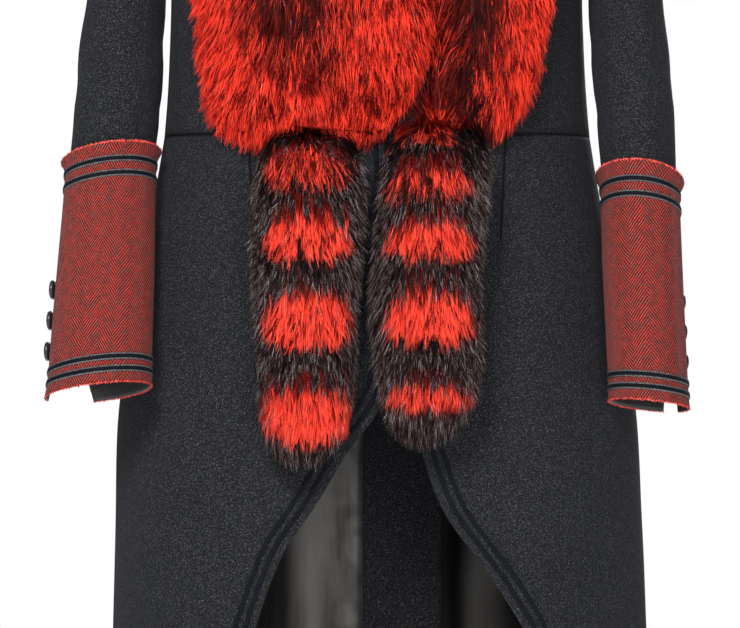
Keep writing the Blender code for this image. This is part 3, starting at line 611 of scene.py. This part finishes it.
# Velvet tapes: narrow blue-black velvet round the cuffs, two near each edge. Each is sewn on over
# a slightly wider grey woven edging, which shows as a fine line on both sides.
CUFF_TAPE_NARROWER = 0.0004
CUFF_TAPE_OVERHANG = 0.0011
EDGING_STEP_IN = 0.00045
velvet = Shader("tape_velvet", 0.85, specular=0.1)
pile = velvet.noise(velvet.place(), 900, 3.0, 0.6)
velvet.speckle(pile, 0.40, 0.75, (0.0010, 0.0013, 0.0024), (0.005, 0.007, 0.012))
velvet.sheen(0.015, 0.35, (0.75, 0.85, 1.0))
velvet.bump(pile, 0.0008, 0.7)
edging = Shader("tape_edging", 0.8)
loops = edging.noise(edging.place(), 800, 2.0, 0.6)
edging.speckle(loops, 0.35, 0.68, (0.018, 0.018, 0.020), (0.105, 0.105, 0.110))
edging.bump(loops, 0.0009, 0.9)


def velvet_tape(node, across_at, narrower, overhang, paint, edging_paint):
    """The velvet strip and the wider edging under it, as one piece. across_at gives the
    direction across the tape and the direction off the cloth at a place."""
    piece = fine_cloth(node, f"velvet_{node}", 1)
    strip = piece.data
    bm = bmesh.new()
    bm.from_mesh(strip)
    under = bmesh.ops.duplicate(bm, geom=bm.verts[:] + bm.edges[:] + bm.faces[:])["geom"]
    for part in under:
        if isinstance(part, bmesh.types.BMFace):
            part.material_index = 1
    bm.normal_update()
    below = {part for part in under if isinstance(part, bmesh.types.BMVert)}
    moves = []
    for vertex in bm.verts:
        across, off = across_at(vertex.co)
        edge = 1 if vertex.normal.dot(across) > 0 else -1
        if vertex in below:
            drop = EDGING_STEP_IN if vertex.normal.dot(off) > 0 else 0.0
            moves.append(across * edge * overhang - off * drop)
        else:
            moves.append(-across * edge * narrower)
    for vertex, move in zip(bm.verts, moves):
        vertex.co += move
    bm.to_mesh(strip)
    bm.free()
    strip.materials.append(paint.material)
    strip.materials.append(edging_paint.material)
    return piece


for side in SIDES:
    axis = cuff_axis(side)[1]
    tapes = [velvet_tape(f"tape_{side}_{number}", lambda place: (axis, round_cuff(place, side)[2]),
                         CUFF_TAPE_NARROWER, CUFF_TAPE_OVERHANG, velvet, edging)
             for number in (1, 2, 3, 4)]
    cuff, threads = fraying[side]

# Velvet lines: two narrow tapes of the same velvet along each cutaway front edge. They are sewn
# flat on the skirt fronts and hang with their folds.
LINE_NARROWER = -0.0004
line_edging = Shader("line_edging", 0.9)
line_fleck = line_edging.noise(line_edging.place(), 700, 2.0, 0.6)
line_edging.speckle(line_fleck, 0.35, 0.70, (0.010, 0.010, 0.012), (0.062, 0.062, 0.066))
line_edging.bump(line_fleck, 0.0007, 0.7)
for side, sign in SIDES.items():
    for number in (1, 2):
        node = f"front_line_{side}_{number}"

        def across_front(place):
            """Across the line, which leans more towards the hem, and off the cloth."""
            out = Vector((place.x * 0.25, -1, 0)).normalized()
            slope = ease(-place.z, 0.46, 0.90)
            way = Vector((sign * (1.15 - 0.55 * slope), 0, 0.35 + 0.30 * slope)).normalized()
            return (way - out * way.dot(out)).normalized(), out
        line = velvet_tape(node, across_front, LINE_NARROWER, 0.0, velvet, line_edging)
        move_points(line, hanging_folds)
    width, length, cut_area = BODY_CUTS["skirt_front", side]

# Lining: grey satin inside the skirt backs, stitched down beside the vent facing, where it
# gathers into fine upright wrinkles. It bulges inwards only, clear of the wool.
LINING_CUTS = {"right": (0.288, 0.692, 0.1825), "left": (0.273, 0.692, 0.172)}
# How far each half bulges, and how far from the middle it starts and ends.
LINING_FULLNESS = {"right": (0.0060, (0.012, 0.056), (0.080, 0.108)),
                   "left": (0.0075, (0.068, 0.086), (0.140, 0.180))}
PUCKER_DEPTH = 0.0044
BROAD_FOLD_DEPTH = 0.0020
SAG_DEPTH = 0.0048
# Near black, painted as shade on the lining.
IN_SHADE = (0.0015, 0.0015, 0.0015)
satin = Shader("lining_satin", 0.50, specular=0.12)
where = satin.place()
threads_seen = satin.noise(satin.stretched(where, (1, 1, 0.12)), 1400, 2.0, 0.5)
shade = satin.noise(satin.stretched(where, (1, 1, 0.25)), 26, 2.0, 0.5)
grey = satin.mix(shade, (0.050, 0.047, 0.045), (0.076, 0.072, 0.068))
aside = satin.axis(where, 0)
# Painted shade: the lining goes near black where the right half turns towards the side, and over the
# left half behind the vent's underlap, where one strip is only half as dark.
painted_shade_at_side = satin.window(satin.math("MULTIPLY", aside, -1.0), 0.070, 0.098)
half_shade_strip = satin.math("SUBTRACT", satin.window(aside, 0.082, 0.104), satin.window(aside, 0.114, 0.150))
painted_shade_left_half = satin.math("MULTIPLY", satin.window(aside, 0.0, 0.01),
                    satin.math("SUBTRACT", 1.0, satin.math("MULTIPLY", 0.5, half_shade_strip)))
# Painted shade in the hollows of the puckers beside the stitched edge: dark blots of colour.
shade_blots = satin.window(satin.noise(satin.stretched(where, (1, 1, 0.8)), 58, 0.0, 0.5), 0.42, 0.72)
gathered = satin.math("MULTIPLY", satin.window(aside, -0.062, -0.030),
                      satin.math("LESS_THAN", aside, 0.0))
hollows = satin.math("MULTIPLY", satin.math("MULTIPLY", shade_blots, gathered), 0.48)
grey = satin.mix(hollows, grey, (0.012, 0.012, 0.011))
satin.colour(satin.mix(satin.math("MAXIMUM", painted_shade_at_side, painted_shade_left_half), grey, IN_SHADE))
satin.surface.inputs["Metallic"].default_value = 0.6
satin.bump(threads_seen, 0.0003, 0.5)
satin.bump(satin.noise(satin.stretched(where, (1, 1, 0.16)), 120, 2.0, 0.5), 0.0012, 0.6)


def lining_wrinkles(place):
    """Upright wrinkles, strongest beside the stitched edge."""
    own = abs(place.x)
    on_right = place.x < 0
    near_stitch = 1 - ease(own, 0.014, 0.052) if on_right else 0.0
    depth, start, end = LINING_FULLNESS["right" if on_right else "left"]
    full = depth * ease(own, *start) * (1 - ease(own, *end))
    free = 1.0 if on_right else ease(own, 0.068, 0.082)
    drift = 2.0 * noise.noise(Vector((place.x * 20, 3, place.z * 16)))
    pucker = math.sin(place.z * 215 + own * 60 + drift)
    wave = (0.5 + 0.5 * pucker) * PUCKER_DEPTH * near_stitch * ease(own, 0.011, 0.018)
    broad = math.sin(own * 90 + 0.9 * math.sin(place.z * 9 + 1.0)) * BROAD_FOLD_DEPTH
    sag = noise.noise(Vector((place.x * 26, 0, place.z * 14))) * SAG_DEPTH
    held = 1 - ease(place.z, -0.50, -0.44)
    inwards = max(full + (wave + broad + sag) * free, 0.0)
    return Vector((0, -1, 0)) * inwards * held + hanging_folds(place)


for side, (width, length, cut_area) in LINING_CUTS.items():
    piece = fine_cloth(f"lining_back_{side}", f"lining_satin_{side}", 3)
    move_points(piece, lining_wrinkles)
    piece.data.materials.append(satin.material)

# Cuff buttons: turned dark horn with a raised rim and four holes, three to a cuff beside its back
# slit, sewn on with black thread in a cross.
horn = Shader("button_horn", 0.36, specular=0.3)
grain = horn.noise(horn.stretched(horn.place(), (1, 1, 0.2)), 260, 3.0, 0.6, 1.0)
horn.colour(horn.mix(grain, (0.006, 0.006, 0.007), (0.030, 0.026, 0.024)))
horn.bump(grain, 0.0002, 0.4)
# From the middle of the face to the middle of the back: radius and height.
BUTTON_PROFILE = [(0.0, 0.0014), (0.0052, 0.0014), (0.0060, 0.0024), (0.0078, 0.0027), (0.0092, 0.0021),
                  (0.0096, 0.0008), (0.0092, -0.0006), (0.0070, -0.0018), (0.0, -0.0020)]
HOLE_PLACE = 0.0019
HOLE_RADIUS = 0.0009
HOLE_HEIGHT = 0.00145
THREAD_RADIUS = 0.0004
THREAD_HEIGHT = 0.0017
UP = Vector((0, 0, 1))
ALONG = Vector((1, 0, 0))
for side in SIDES:
    for number in (1, 2, 3):
        node = f"cuff_button_{side}_{number}"
        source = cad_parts[node].data
        low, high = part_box(node)
        centre = (Vector(low) + Vector(high)) / 2
        facing = max(source.polygons, key=lambda face: face.area).normal
        if facing.dot(round_cuff(centre, side)[2]) < 0:
            facing = -facing
        bm = bmesh.new()
        ring = [bm.verts.new((radius, 0, height)) for radius, height in BUTTON_PROFILE]
        edges = [bm.edges.new(pair) for pair in zip(ring, ring[1:])]
        bmesh.ops.spin(bm, geom=ring + edges, cent=(0, 0, 0), axis=(0, 0, 1), angle=2 * math.pi,
                       steps=32, use_merge=True, use_duplicate=False)
        bmesh.ops.remove_doubles(bm, verts=bm.verts, dist=1e-6)
        bmesh.ops.recalc_face_normals(bm, faces=bm.faces)
        for turn in range(4):
            angle = math.pi / 4 + turn * math.pi / 2
            hole = bmesh.ops.create_circle(bm, cap_ends=True, segments=12, radius=HOLE_RADIUS)["verts"]
            bmesh.ops.translate(bm, verts=hole, vec=(HOLE_PLACE * math.cos(angle),
                                                     HOLE_PLACE * math.sin(angle), HOLE_HEIGHT))
        for angle in (math.pi / 4, 3 * math.pi / 4):
            stitch = bmesh.ops.create_cone(bm, cap_ends=True, segments=8, radius1=THREAD_RADIUS,
                                           radius2=THREAD_RADIUS, depth=2 * HOLE_PLACE)["verts"]
            laid = UP.rotation_difference(ALONG).to_matrix()
            turned = ALONG.rotation_difference(Vector((math.cos(angle), math.sin(angle), 0))).to_matrix()
            bmesh.ops.rotate(bm, verts=stitch, cent=(0, 0, 0), matrix=turned @ laid)
            bmesh.ops.translate(bm, verts=stitch, vec=(0, 0, THREAD_HEIGHT))
        bmesh.ops.rotate(bm, verts=bm.verts, cent=(0, 0, 0),
                         matrix=UP.rotation_difference(facing).to_matrix())
        bmesh.ops.translate(bm, verts=bm.verts, vec=centre)
        mesh = bpy.data.meshes.new(f"horn_button_{side}_{number}")
        bm.to_mesh(mesh)
        bm.free()
        mesh.shade_smooth()
        mesh.set_sharp_from_angle(angle=math.radians(35))
        mesh.materials.append(horn.material)
        piece = add_object(f"horn_button_{side}_{number}", mesh)
        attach(piece, "root")
        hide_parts(node)

# Fur collar: long-haired pelts dyed red over dark underfur, sewn round the neck and down both
# fronts. A dark skin lies under the hair, and the hair is combed outwards and down in locks.
COLLAR_SKIN_DEPTH = 0.009
COLLAR_SKIN_BACK = 0.017
COLLAR_HAIRS = {"right": 55000, "left": 41000, "back": 21000}
QUICK_SHARE = 1.0
HAIRS_PER_LOCK = 8
HAIR_WIDTHS = (0.00034, 0.00080)
HAIR_LENGTHS = (0.75, 1.15)  # shares of the length at that place
LOCK_TURN, HAIR_TURN = 0.16, 0.07
HAIR_PROUD, LOCK_PROUD = 0.0022, 0.0030
PROUD_LIMITS = (-0.008, 0.009)
# Painted highlight on the tips of red hairs.
TIP_HIGHLIGHT_RED = (1.0, 0.19, 0.13)
PALE_GUARD = ((0.15, 0.115, 0.115), (0.50, 0.44, 0.44))
FRONTS_MEET_X = 0.0615

# The skin's dark red is partly the underfur's own colour and partly painted shade, so that skin seen
# between the hairs reads as fur in shade.
underfur = Shader("collar_underfur", 0.9, specular=0.05)
depths = underfur.noise(underfur.place(), 160, 3.0, 0.6)
underfur.speckle(depths, 0.35, 0.7, (0.012, 0.001, 0.001), (0.30, 0.010, 0.005))
underfur.bump(depths, 0.004, 0.9)


def fur_material(name, red_low, red_high, dark_low, dark_high, dark_hair_tip_highlight):
    """Hair colour from the strand map (a value per hair, then root to tip) and the dye map
    (how red the hair is, then how pale a guard hair it is)."""
    fur = Shader(name, 0.42, specular=0.05)
    strand = fur.node("ShaderNodeUVMap", uv_map="strand").outputs[0]
    dye = fur.node("ShaderNodeUVMap", uv_map="dye").outputs[0]
    each, along = fur.axis(strand, 0), fur.axis(strand, 1)
    redness, guard = fur.axis(dye, 0), fur.axis(dye, 1)
    rooted = fur.window(along, 0.38, 0.66)
    red = fur.mix(fur.window(each, 0.05, 0.55), red_low, red_high)
    dark = fur.mix(each, dark_low, dark_high)
    shade = fur.mix(redness, dark, red)
    # Painted highlight: the tips of many hairs lighten, pinkish on red hairs and towards a lighter tip
    # colour on dark ones.
    tip_highlight_mask = fur.math("MULTIPLY", fur.window(along, 0.70, 1.0), fur.window(each, 0.35, 1.0))
    tip_highlight_colour = fur.mix(redness, dark_hair_tip_highlight, TIP_HIGHLIGHT_RED)
    shade = fur.mix(fur.math("MULTIPLY", tip_highlight_mask, 0.45), shade, tip_highlight_colour)
    root_shade = fur.mix(redness, tuple(0.5 * c for c in dark_low), tuple(0.30 * c for c in red_low))
    shade = fur.mix(rooted, root_shade, shade)
    pale = fur.mix(each, *PALE_GUARD)
    fur.colour(fur.mix(fur.math("MULTIPLY", guard, fur.window(along, 0.58, 0.76)), shade, pale))
    return fur.material


collar_fur = fur_material("collar_fur", (0.22, 0.003, 0.002), (0.92, 0.042, 0.020),
                          (0.004, 0.001, 0.001), (0.060, 0.003, 0.002), (0.110, 0.010, 0.006))


def thickness(mesh, places, outs):
    """How thick the form is under each place."""
    bm = bmesh.new()
    bm.from_mesh(mesh)
    tree = BVHTree.FromBMesh(bm)
    bm.free()
    through = []
    for place, out in zip(places, outs):
        hit = tree.ray_cast(Vector(place - out * 1e-4), Vector(-out))
        through.append(hit[3] if hit[0] else 0.01)
    return np.array(through)


def fur_skin(piece, comb, depth, back):
    """Sink the form's surface by a depth, less where it is thin, and back along the comb."""
    mesh = piece.data
    places = np.array([vertex.co[:] for vertex in mesh.vertices])
    outs = np.array([vertex.normal[:] for vertex in mesh.vertices])
    way = unit(comb(places, outs))
    leaving = (way * outs).sum(axis=1)
    way = unit(way - outs * leaving[:, None])
    deep = depth * (1 + 1.5 * np.clip(leaving, 0, 1))
    sink = np.minimum(deep, 0.42 * thickness(mesh, places, outs))[:, None]
    mesh.vertices.foreach_set("co", (places - outs * sink - way * back).reshape(-1))
    mesh.update()


def smooth_steps(value, low, high):
    share = np.clip((value - low) / (high - low), 0, 1)
    return share * share * (3 - 2 * share)


def grow(piece, name, count, comb, lift, length, dye, paint, rng, keep, hair_widths=HAIR_WIDTHS,
         lock_pull=0.62, spread=None, proud_by=0.0010, top=None, hug=None):
    """Plant hairs on a form, with their tips at its surface. comb, length and dye give arrays
    from the hairs' places, and keep says where hair grows. spread moves the tips, proud_by is
    how far they stand off, top holds them down and hug bends them round a lower edge."""
    count = int(count * QUICK_SHARE)
    ends, outs = skin_points(piece.data, count, rng, keep)
    deep = thickness(piece.data, ends, outs)
    if spread:
        ends = ends + spread(ends)
    way = unit(comb(ends, outs))
    leaving = (way * outs).sum(axis=1)
    bent = 0.25 if hug is None else hug(ends)
    way = unit(way - outs * np.where(leaving < 0, leaving, bent * leaving)[:, None])
    leaders = rng.choice(count, size=max(count // HAIRS_PER_LOCK, 8), replace=False)
    tree = KDTree(len(leaders))
    for index, leader in enumerate(leaders):
        tree.insert(ends[leader], index)
    tree.balance()
    leader_of = leaders[np.array([tree.find(end)[1] for end in ends])]
    lock_turn = rng.normal(0, LOCK_TURN, (count, 3))
    way = unit(way + lock_turn[leader_of] + rng.normal(0, HAIR_TURN, (count, 3)))
    reach = length(ends, outs) * rng.uniform(*HAIR_LENGTHS, count)
    rise = lift * (1 + 0.30 * rng.normal(0, 1, count)[leader_of] + 0.20 * rng.normal(0, 1, count))
    rise = rise * (1 - 0.8 * np.clip(leaving, 0, 1))
    deepest = 0.60 * deep / reach
    rise = np.minimum(np.clip(rise, 0.05, 1.1), np.arcsin(np.clip(deepest, 0.04, 0.95)))[:, None]
    first = unit(way * np.cos(rise) + outs * np.sin(rise))
    second = unit(way * np.cos(rise * 0.35) + outs * np.sin(rise * 0.35))
    proud = np.abs(rng.normal(0, HAIR_PROUD, count)) + proud_by
    proud = proud + LOCK_PROUD * rng.normal(0, 1, count)[leader_of] * (1 + np.clip(leaving, 0, 1))
    tips = ends + second * np.clip(proud, *PROUD_LIMITS)[:, None]
    middles = tips - second * reach[:, None] * 0.5
    roots = middles - first * reach[:, None] * 0.5
    if top is not None:
        for points in (roots, middles, tips):
            points[:, 2] = np.where(points[:, 2] > top, top + 0.12 * (points[:, 2] - top), points[:, 2])
    gathered = tips[leader_of] + (ends - ends[leader_of]) * 0.30
    pull = lock_pull * rng.uniform(0.5, 1.2, count)[:, None]
    tips = tips + (gathered - tips) * pull
    middles = middles + (gathered - tips) * pull * 0.18
    spin = rng.normal(0, 0.7, count)[:, None]
    flat_way = unit(np.cross(first, outs))
    flat_way = unit(flat_way * np.cos(spin) + np.cross(first, flat_way) * np.sin(spin))
    redness, guard = dye(roots, middles, tips, outs)
    seeds = np.column_stack([rng.random(count), np.zeros(count)])
    lock_tone = rng.normal(0, 0.12, count)[leader_of]
    seeds[:, 0] = np.clip(seeds[:, 0] * 0.75 + 0.12 + lock_tone, 0, 1)
    widths = rng.uniform(*hair_widths, count) * np.where(guard > 0.5, 0.55, 1.0)
    mesh = blades(name, roots, middles, tips, flat_way, widths,
                  {"strand": seeds, "dye": np.column_stack([redness, guard])})
    mesh.materials.append(paint)
    hair = add_object(name, mesh)
    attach(hair, "root")
    return hair


def patchy(places, scale, seed):
    """Soft noise, about 0 to 1, at each place."""
    return np.array([0.5 + 0.6 * noise.noise(Vector((x * scale + seed, y * scale, z * scale * 0.6)))
                     for x, y, z in places])


def collar_comb(roots, outs):
    """Down the pelt and out to its edges, and outwards over the shoulders."""
    x, z = roots[:, 0], roots[:, 2]
    sideways = (-0.62 * smooth_steps(-x, 0.07, 0.18)
                + 0.34 * smooth_steps(x, -0.01, 0.05) * (x < FRONTS_MEET_X)
                - 0.50 * (1 - smooth_steps(x, 0.07, 0.10)) * (x >= FRONTS_MEET_X)
                + 0.34 * smooth_steps(x, 0.10, 0.17))
    upper = smooth_steps(z, -0.20, -0.06)
    sideways = sideways * (1 - upper) + np.sign(x) * 0.9 * upper
    backwards = smooth_steps(roots[:, 1], 0.0, 0.05) * 0.15
    return np.column_stack([sideways, backwards, -np.ones(len(x))])


def collar_length(roots, outs):
    z = roots[:, 2]
    return 0.036 + 0.006 * smooth_steps(-z, 0.25, 0.42)


# Dark patches: x, z, half width, half height and how dark.
DARK_PATCHES = [(-0.084, -0.310, 0.058, 0.056, 0.92), (-0.098, -0.362, 0.032, 0.020, 0.50),
                (-0.058, -0.366, 0.022, 0.024, 0.60), (0.090, -0.312, 0.036, 0.080, 1.00),
                (0.066, -0.388, 0.018, 0.028, 0.92)]


def collar_dye(roots, middles, tips, outs):
    """Bright red mixed hair by hair with dark, most of it dark in patches high up on both fronts, and a
    painted shadow of dark hair along the seam over the left tail, whose first red band lies below it."""
    rng = np.random.default_rng(7)
    x, z = tips[:, 0], tips[:, 2]
    dark = np.zeros(len(x))
    for at_x, at_z, wide, high, amount in DARK_PATCHES:
        away = ((x - at_x) / wide) ** 2 + ((z - at_z) / high) ** 2
        dark = np.maximum(dark, amount * np.exp(-away ** 1.5))
    dark = np.maximum(dark, 0.50 * smooth_steps(z, -0.25, -0.10))
    # Painted shadow: dark hair along the seam where the left tail meets the collar.
    over_seam = ((x - 0.0525) * 0.0413 + (z + 0.3925) * 0.0557) / 0.0693
    seam_painted_shadow = smooth_steps(over_seam, -0.014, -0.010) * (1 - smooth_steps(over_seam, 0.003, 0.009))
    dark = np.maximum(dark, seam_painted_shadow * (x > 0.045) * (z < -0.375) * (x < 0.112))
    streaks = patchy(tips, 42, 3.0)
    chance = 0.16 + 0.90 * dark + 0.34 * (streaks - 0.5)
    redness = np.where(rng.random(len(x)) < chance, rng.uniform(0, 0.07, len(x)),
                       1 - 0.7 * dark * rng.random(len(x)))
    guard = (rng.random(len(x)) > 0.996).astype(float)
    return redness, guard


def lay_ends(ends):
    """The two fronts' hair closes over the gap between them, and parts over the right tail."""
    x, z = ends[:, 0], ends[:, 2]
    from_right = 0.0040 * smooth_steps(x, 0.030, 0.048)
    from_left = -0.0040 * (1 - smooth_steps(x, 0.062, 0.078))
    across = np.where(x < 0.056, from_right, from_left)
    across = across * (1 - smooth_steps(z, -0.20, -0.12)) * smooth_steps(z, -0.42, -0.39)
    up = 0.015 * np.exp(-((x + 0.062) / 0.021) ** 2) * (1 - smooth_steps(z, -0.428, -0.400))
    return np.column_stack([across, np.zeros(len(x)), up])


def hug_lower_edge(ends):
    """How far hair bends to the form: more along the collar's lower edge."""
    return 0.25 + 0.30 * smooth_steps(-ends[:, 2], 0.395, 0.425)


FRONT_OUT = np.array([0.0, -0.94, 0.34])
BACK_OUT = np.array([0.0, 0.90, 0.44])
for number, (word, hairs) in enumerate(COLLAR_HAIRS.items()):
    skin = fine_cloth(f"fur_collar_{word}", f"collar_skin_{word}", 1)
    skin.data.materials.append(underfur.material)
    away = BACK_OUT if word == "back" else FRONT_OUT

    def outer_side(middle, normal):
        """Hair grows on the outer side, and further round the lower edge."""
        return (normal @ away > np.where(middle[:, 2] < -0.40, -0.5, -0.25)) * 1.0

    hair = grow(skin, f"collar_hair_{word}", hairs, collar_comb, 0.58, collar_length, collar_dye,
                collar_fur, np.random.default_rng(100 + number), outer_side,
                spread=None if word == "back" else lay_ends, top=cad_box[1][2], hug=hug_lower_edge)
    fur_skin(skin, collar_comb, COLLAR_SKIN_DEPTH, COLLAR_SKIN_BACK)

# Tails: two whole ringed tails sewn under the collar's ends. Red bands, dark between, with
# long dark and grey guard hairs that stand out at the sides and at the tip.
TAIL_SKIN_DEPTH = 0.015
TAIL_SKIN_BACK = 0.014
TAIL_HAIRS = 45000
TAIL_GUARD_HAIRS = 5000
GUARD_WIDTHS = (0.0003, 0.0005)
GUARD_LENGTH = 0.032
DARK_EDGE = (0.68, 0.88)  # from the middle, as shares of the half width
# Red bands of each tail: upper edge, lower edge, how much red, and how far the sides hang lower.
RED_BANDS = {
    "right": [(-0.4360, -0.4851, 0.97, 0.006), (-0.5059, -0.5525, 1.0, 0.004),
              (-0.5800, -0.6369, 1.0, 0.003), (-0.6711, -0.7280, 1.0, 0.000)],
    "left": [(-0.4020, -0.4380, 0.95, 0.020), (-0.4604, -0.4936, 0.95, 0.006),
             (-0.5126, -0.5525, 1.0, 0.004), (-0.5800, -0.6331, 1.0, 0.003),
             (-0.6673, -0.6967, 0.85, 0.000)],
}
# Middle of each tail across the coat, and half its width.
TAIL_MIDDLE = {"right": (-0.0670, 0.055), "left": (0.0500, 0.0555)}
tail_fur = fur_material("tail_fur", (0.30, 0.005, 0.002), (1.0, 0.062, 0.034), (0.003, 0.0012, 0.0012),
                        (0.022, 0.007, 0.007), (0.085, 0.055, 0.052))
# The tail skin's near black is partly dark underfur and partly painted shade of the fur's depths, seen
# between the hairs.
tail_underfur = Shader("tail_underfur", 0.9)
tail_depths = tail_underfur.noise(tail_underfur.place(), 160, 3.0, 0.6)
tail_underfur.colour(tail_underfur.mix(tail_depths, (0.004, 0.002, 0.002), (0.030, 0.008, 0.008)))
tail_underfur.bump(tail_depths, 0.004, 0.9)


def thinner_behind(middle, normal):
    """About a third as much hair on the side that lies against the coat."""
    return np.where(normal[:, 1] > 0.6, 0.35, 1.0)


def mostly_sides(middle, normal):
    return np.where(np.abs(normal[:, 0]) > 0.55, 1.0, 0.06)


def guard_length(ends, outs):
    return np.full(len(ends), GUARD_LENGTH)


def guard_dye(roots, middles, tips, outs):
    """Dark hairs and pale ones, mixed."""
    return np.zeros(len(tips)), (np.sin(tips[:, 2] * 9000) > 0.2) * 1.0


for number, side in enumerate(SIDES):
    skin = fine_cloth(f"fur_tail_{side}", f"tail_skin_{side}", 1)
    skin.data.materials.append(tail_underfur.material)
    middle_x, half = TAIL_MIDDLE[side]
    tail_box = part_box(f"fur_tail_{side}")
    middle_y = (tail_box[0][1] + tail_box[1][1]) / 2
    tail_end, tail_top = tail_box[0][2], tail_box[1][2]

    def tail_comb(roots, outs):
        aside = (roots[:, 0] - middle_x) / half
        near_tip = smooth_steps(-roots[:, 2], -tail_end - 0.12, -tail_end)
        spread = (0.30 + 0.40 * np.abs(aside)) * (1 - 0.6 * near_tip)
        behind = (roots[:, 1] - middle_y) / half
        return np.column_stack([aside * spread, behind * spread, -np.ones(len(aside))])

    def tail_length(roots, outs):
        behind = smooth_steps(outs[:, 1], 0.2, 0.8)
        return (0.034 + 0.004 * np.sin(roots[:, 2] * 60)) * (1 - 0.45 * behind)

    def reach_up(ends):
        """The hair of the tail's top comes out over the collar's lower edge."""
        rise = 0.013 * smooth_steps(ends[:, 2], tail_top - 0.030, tail_top)
        rise = rise * np.exp(-((ends[:, 0] - middle_x) / 0.034) ** 2)
        return np.column_stack([0 * rise, -0.25 * rise, rise])

    def tail_dye(roots, middles, tips, outs):
        rng = np.random.default_rng(17 + number)
        aside = (tips[:, 0] - middle_x) / half
        ragged = rng.normal(0, 0.0022, len(tips)) + (patchy(tips, 55, 9.0) - 0.5) * 0.008
        redness = np.zeros(len(tips))
        for top, bottom, amount, hang in RED_BANDS[side]:
            z = tips[:, 2] + hang * aside ** 2 + ragged
            rounded = 0.40 * (top - bottom) * np.abs(aside) ** 3
            inside = smooth_steps(z - rounded, bottom - 0.002, bottom + 0.002)
            inside = inside * (1 - smooth_steps(z + rounded, top - 0.013, top - 0.009))
            redness = np.maximum(redness, inside * amount)
        edge_dark = smooth_steps(np.abs(aside) + rng.normal(0, 0.06, len(z)), *DARK_EDGE)
        redness = redness * (1 - edge_dark)
        stray = rng.random(len(z))
        redness = np.where(stray < 0.13, 0.0, redness)
        guard = ((stray > 0.98) | ((redness < 0.2) & (stray > 0.83))).astype(float)
        return redness, guard

    hair = grow(skin, f"tail_hair_{side}", TAIL_HAIRS, tail_comb, 0.46, tail_length, tail_dye, tail_fur,
                np.random.default_rng(200 + number), thinner_behind, spread=reach_up)
    guard_hair = grow(skin, f"tail_guard_hair_{side}", TAIL_GUARD_HAIRS, tail_comb, 0.55,
                      guard_length, guard_dye, tail_fur, np.random.default_rng(220 + number),
                      mostly_sides, hair_widths=GUARD_WIDTHS, lock_pull=0.15, proud_by=0.0035)
    fur_skin(skin, tail_comb, TAIL_SKIN_DEPTH, TAIL_SKIN_BACK)
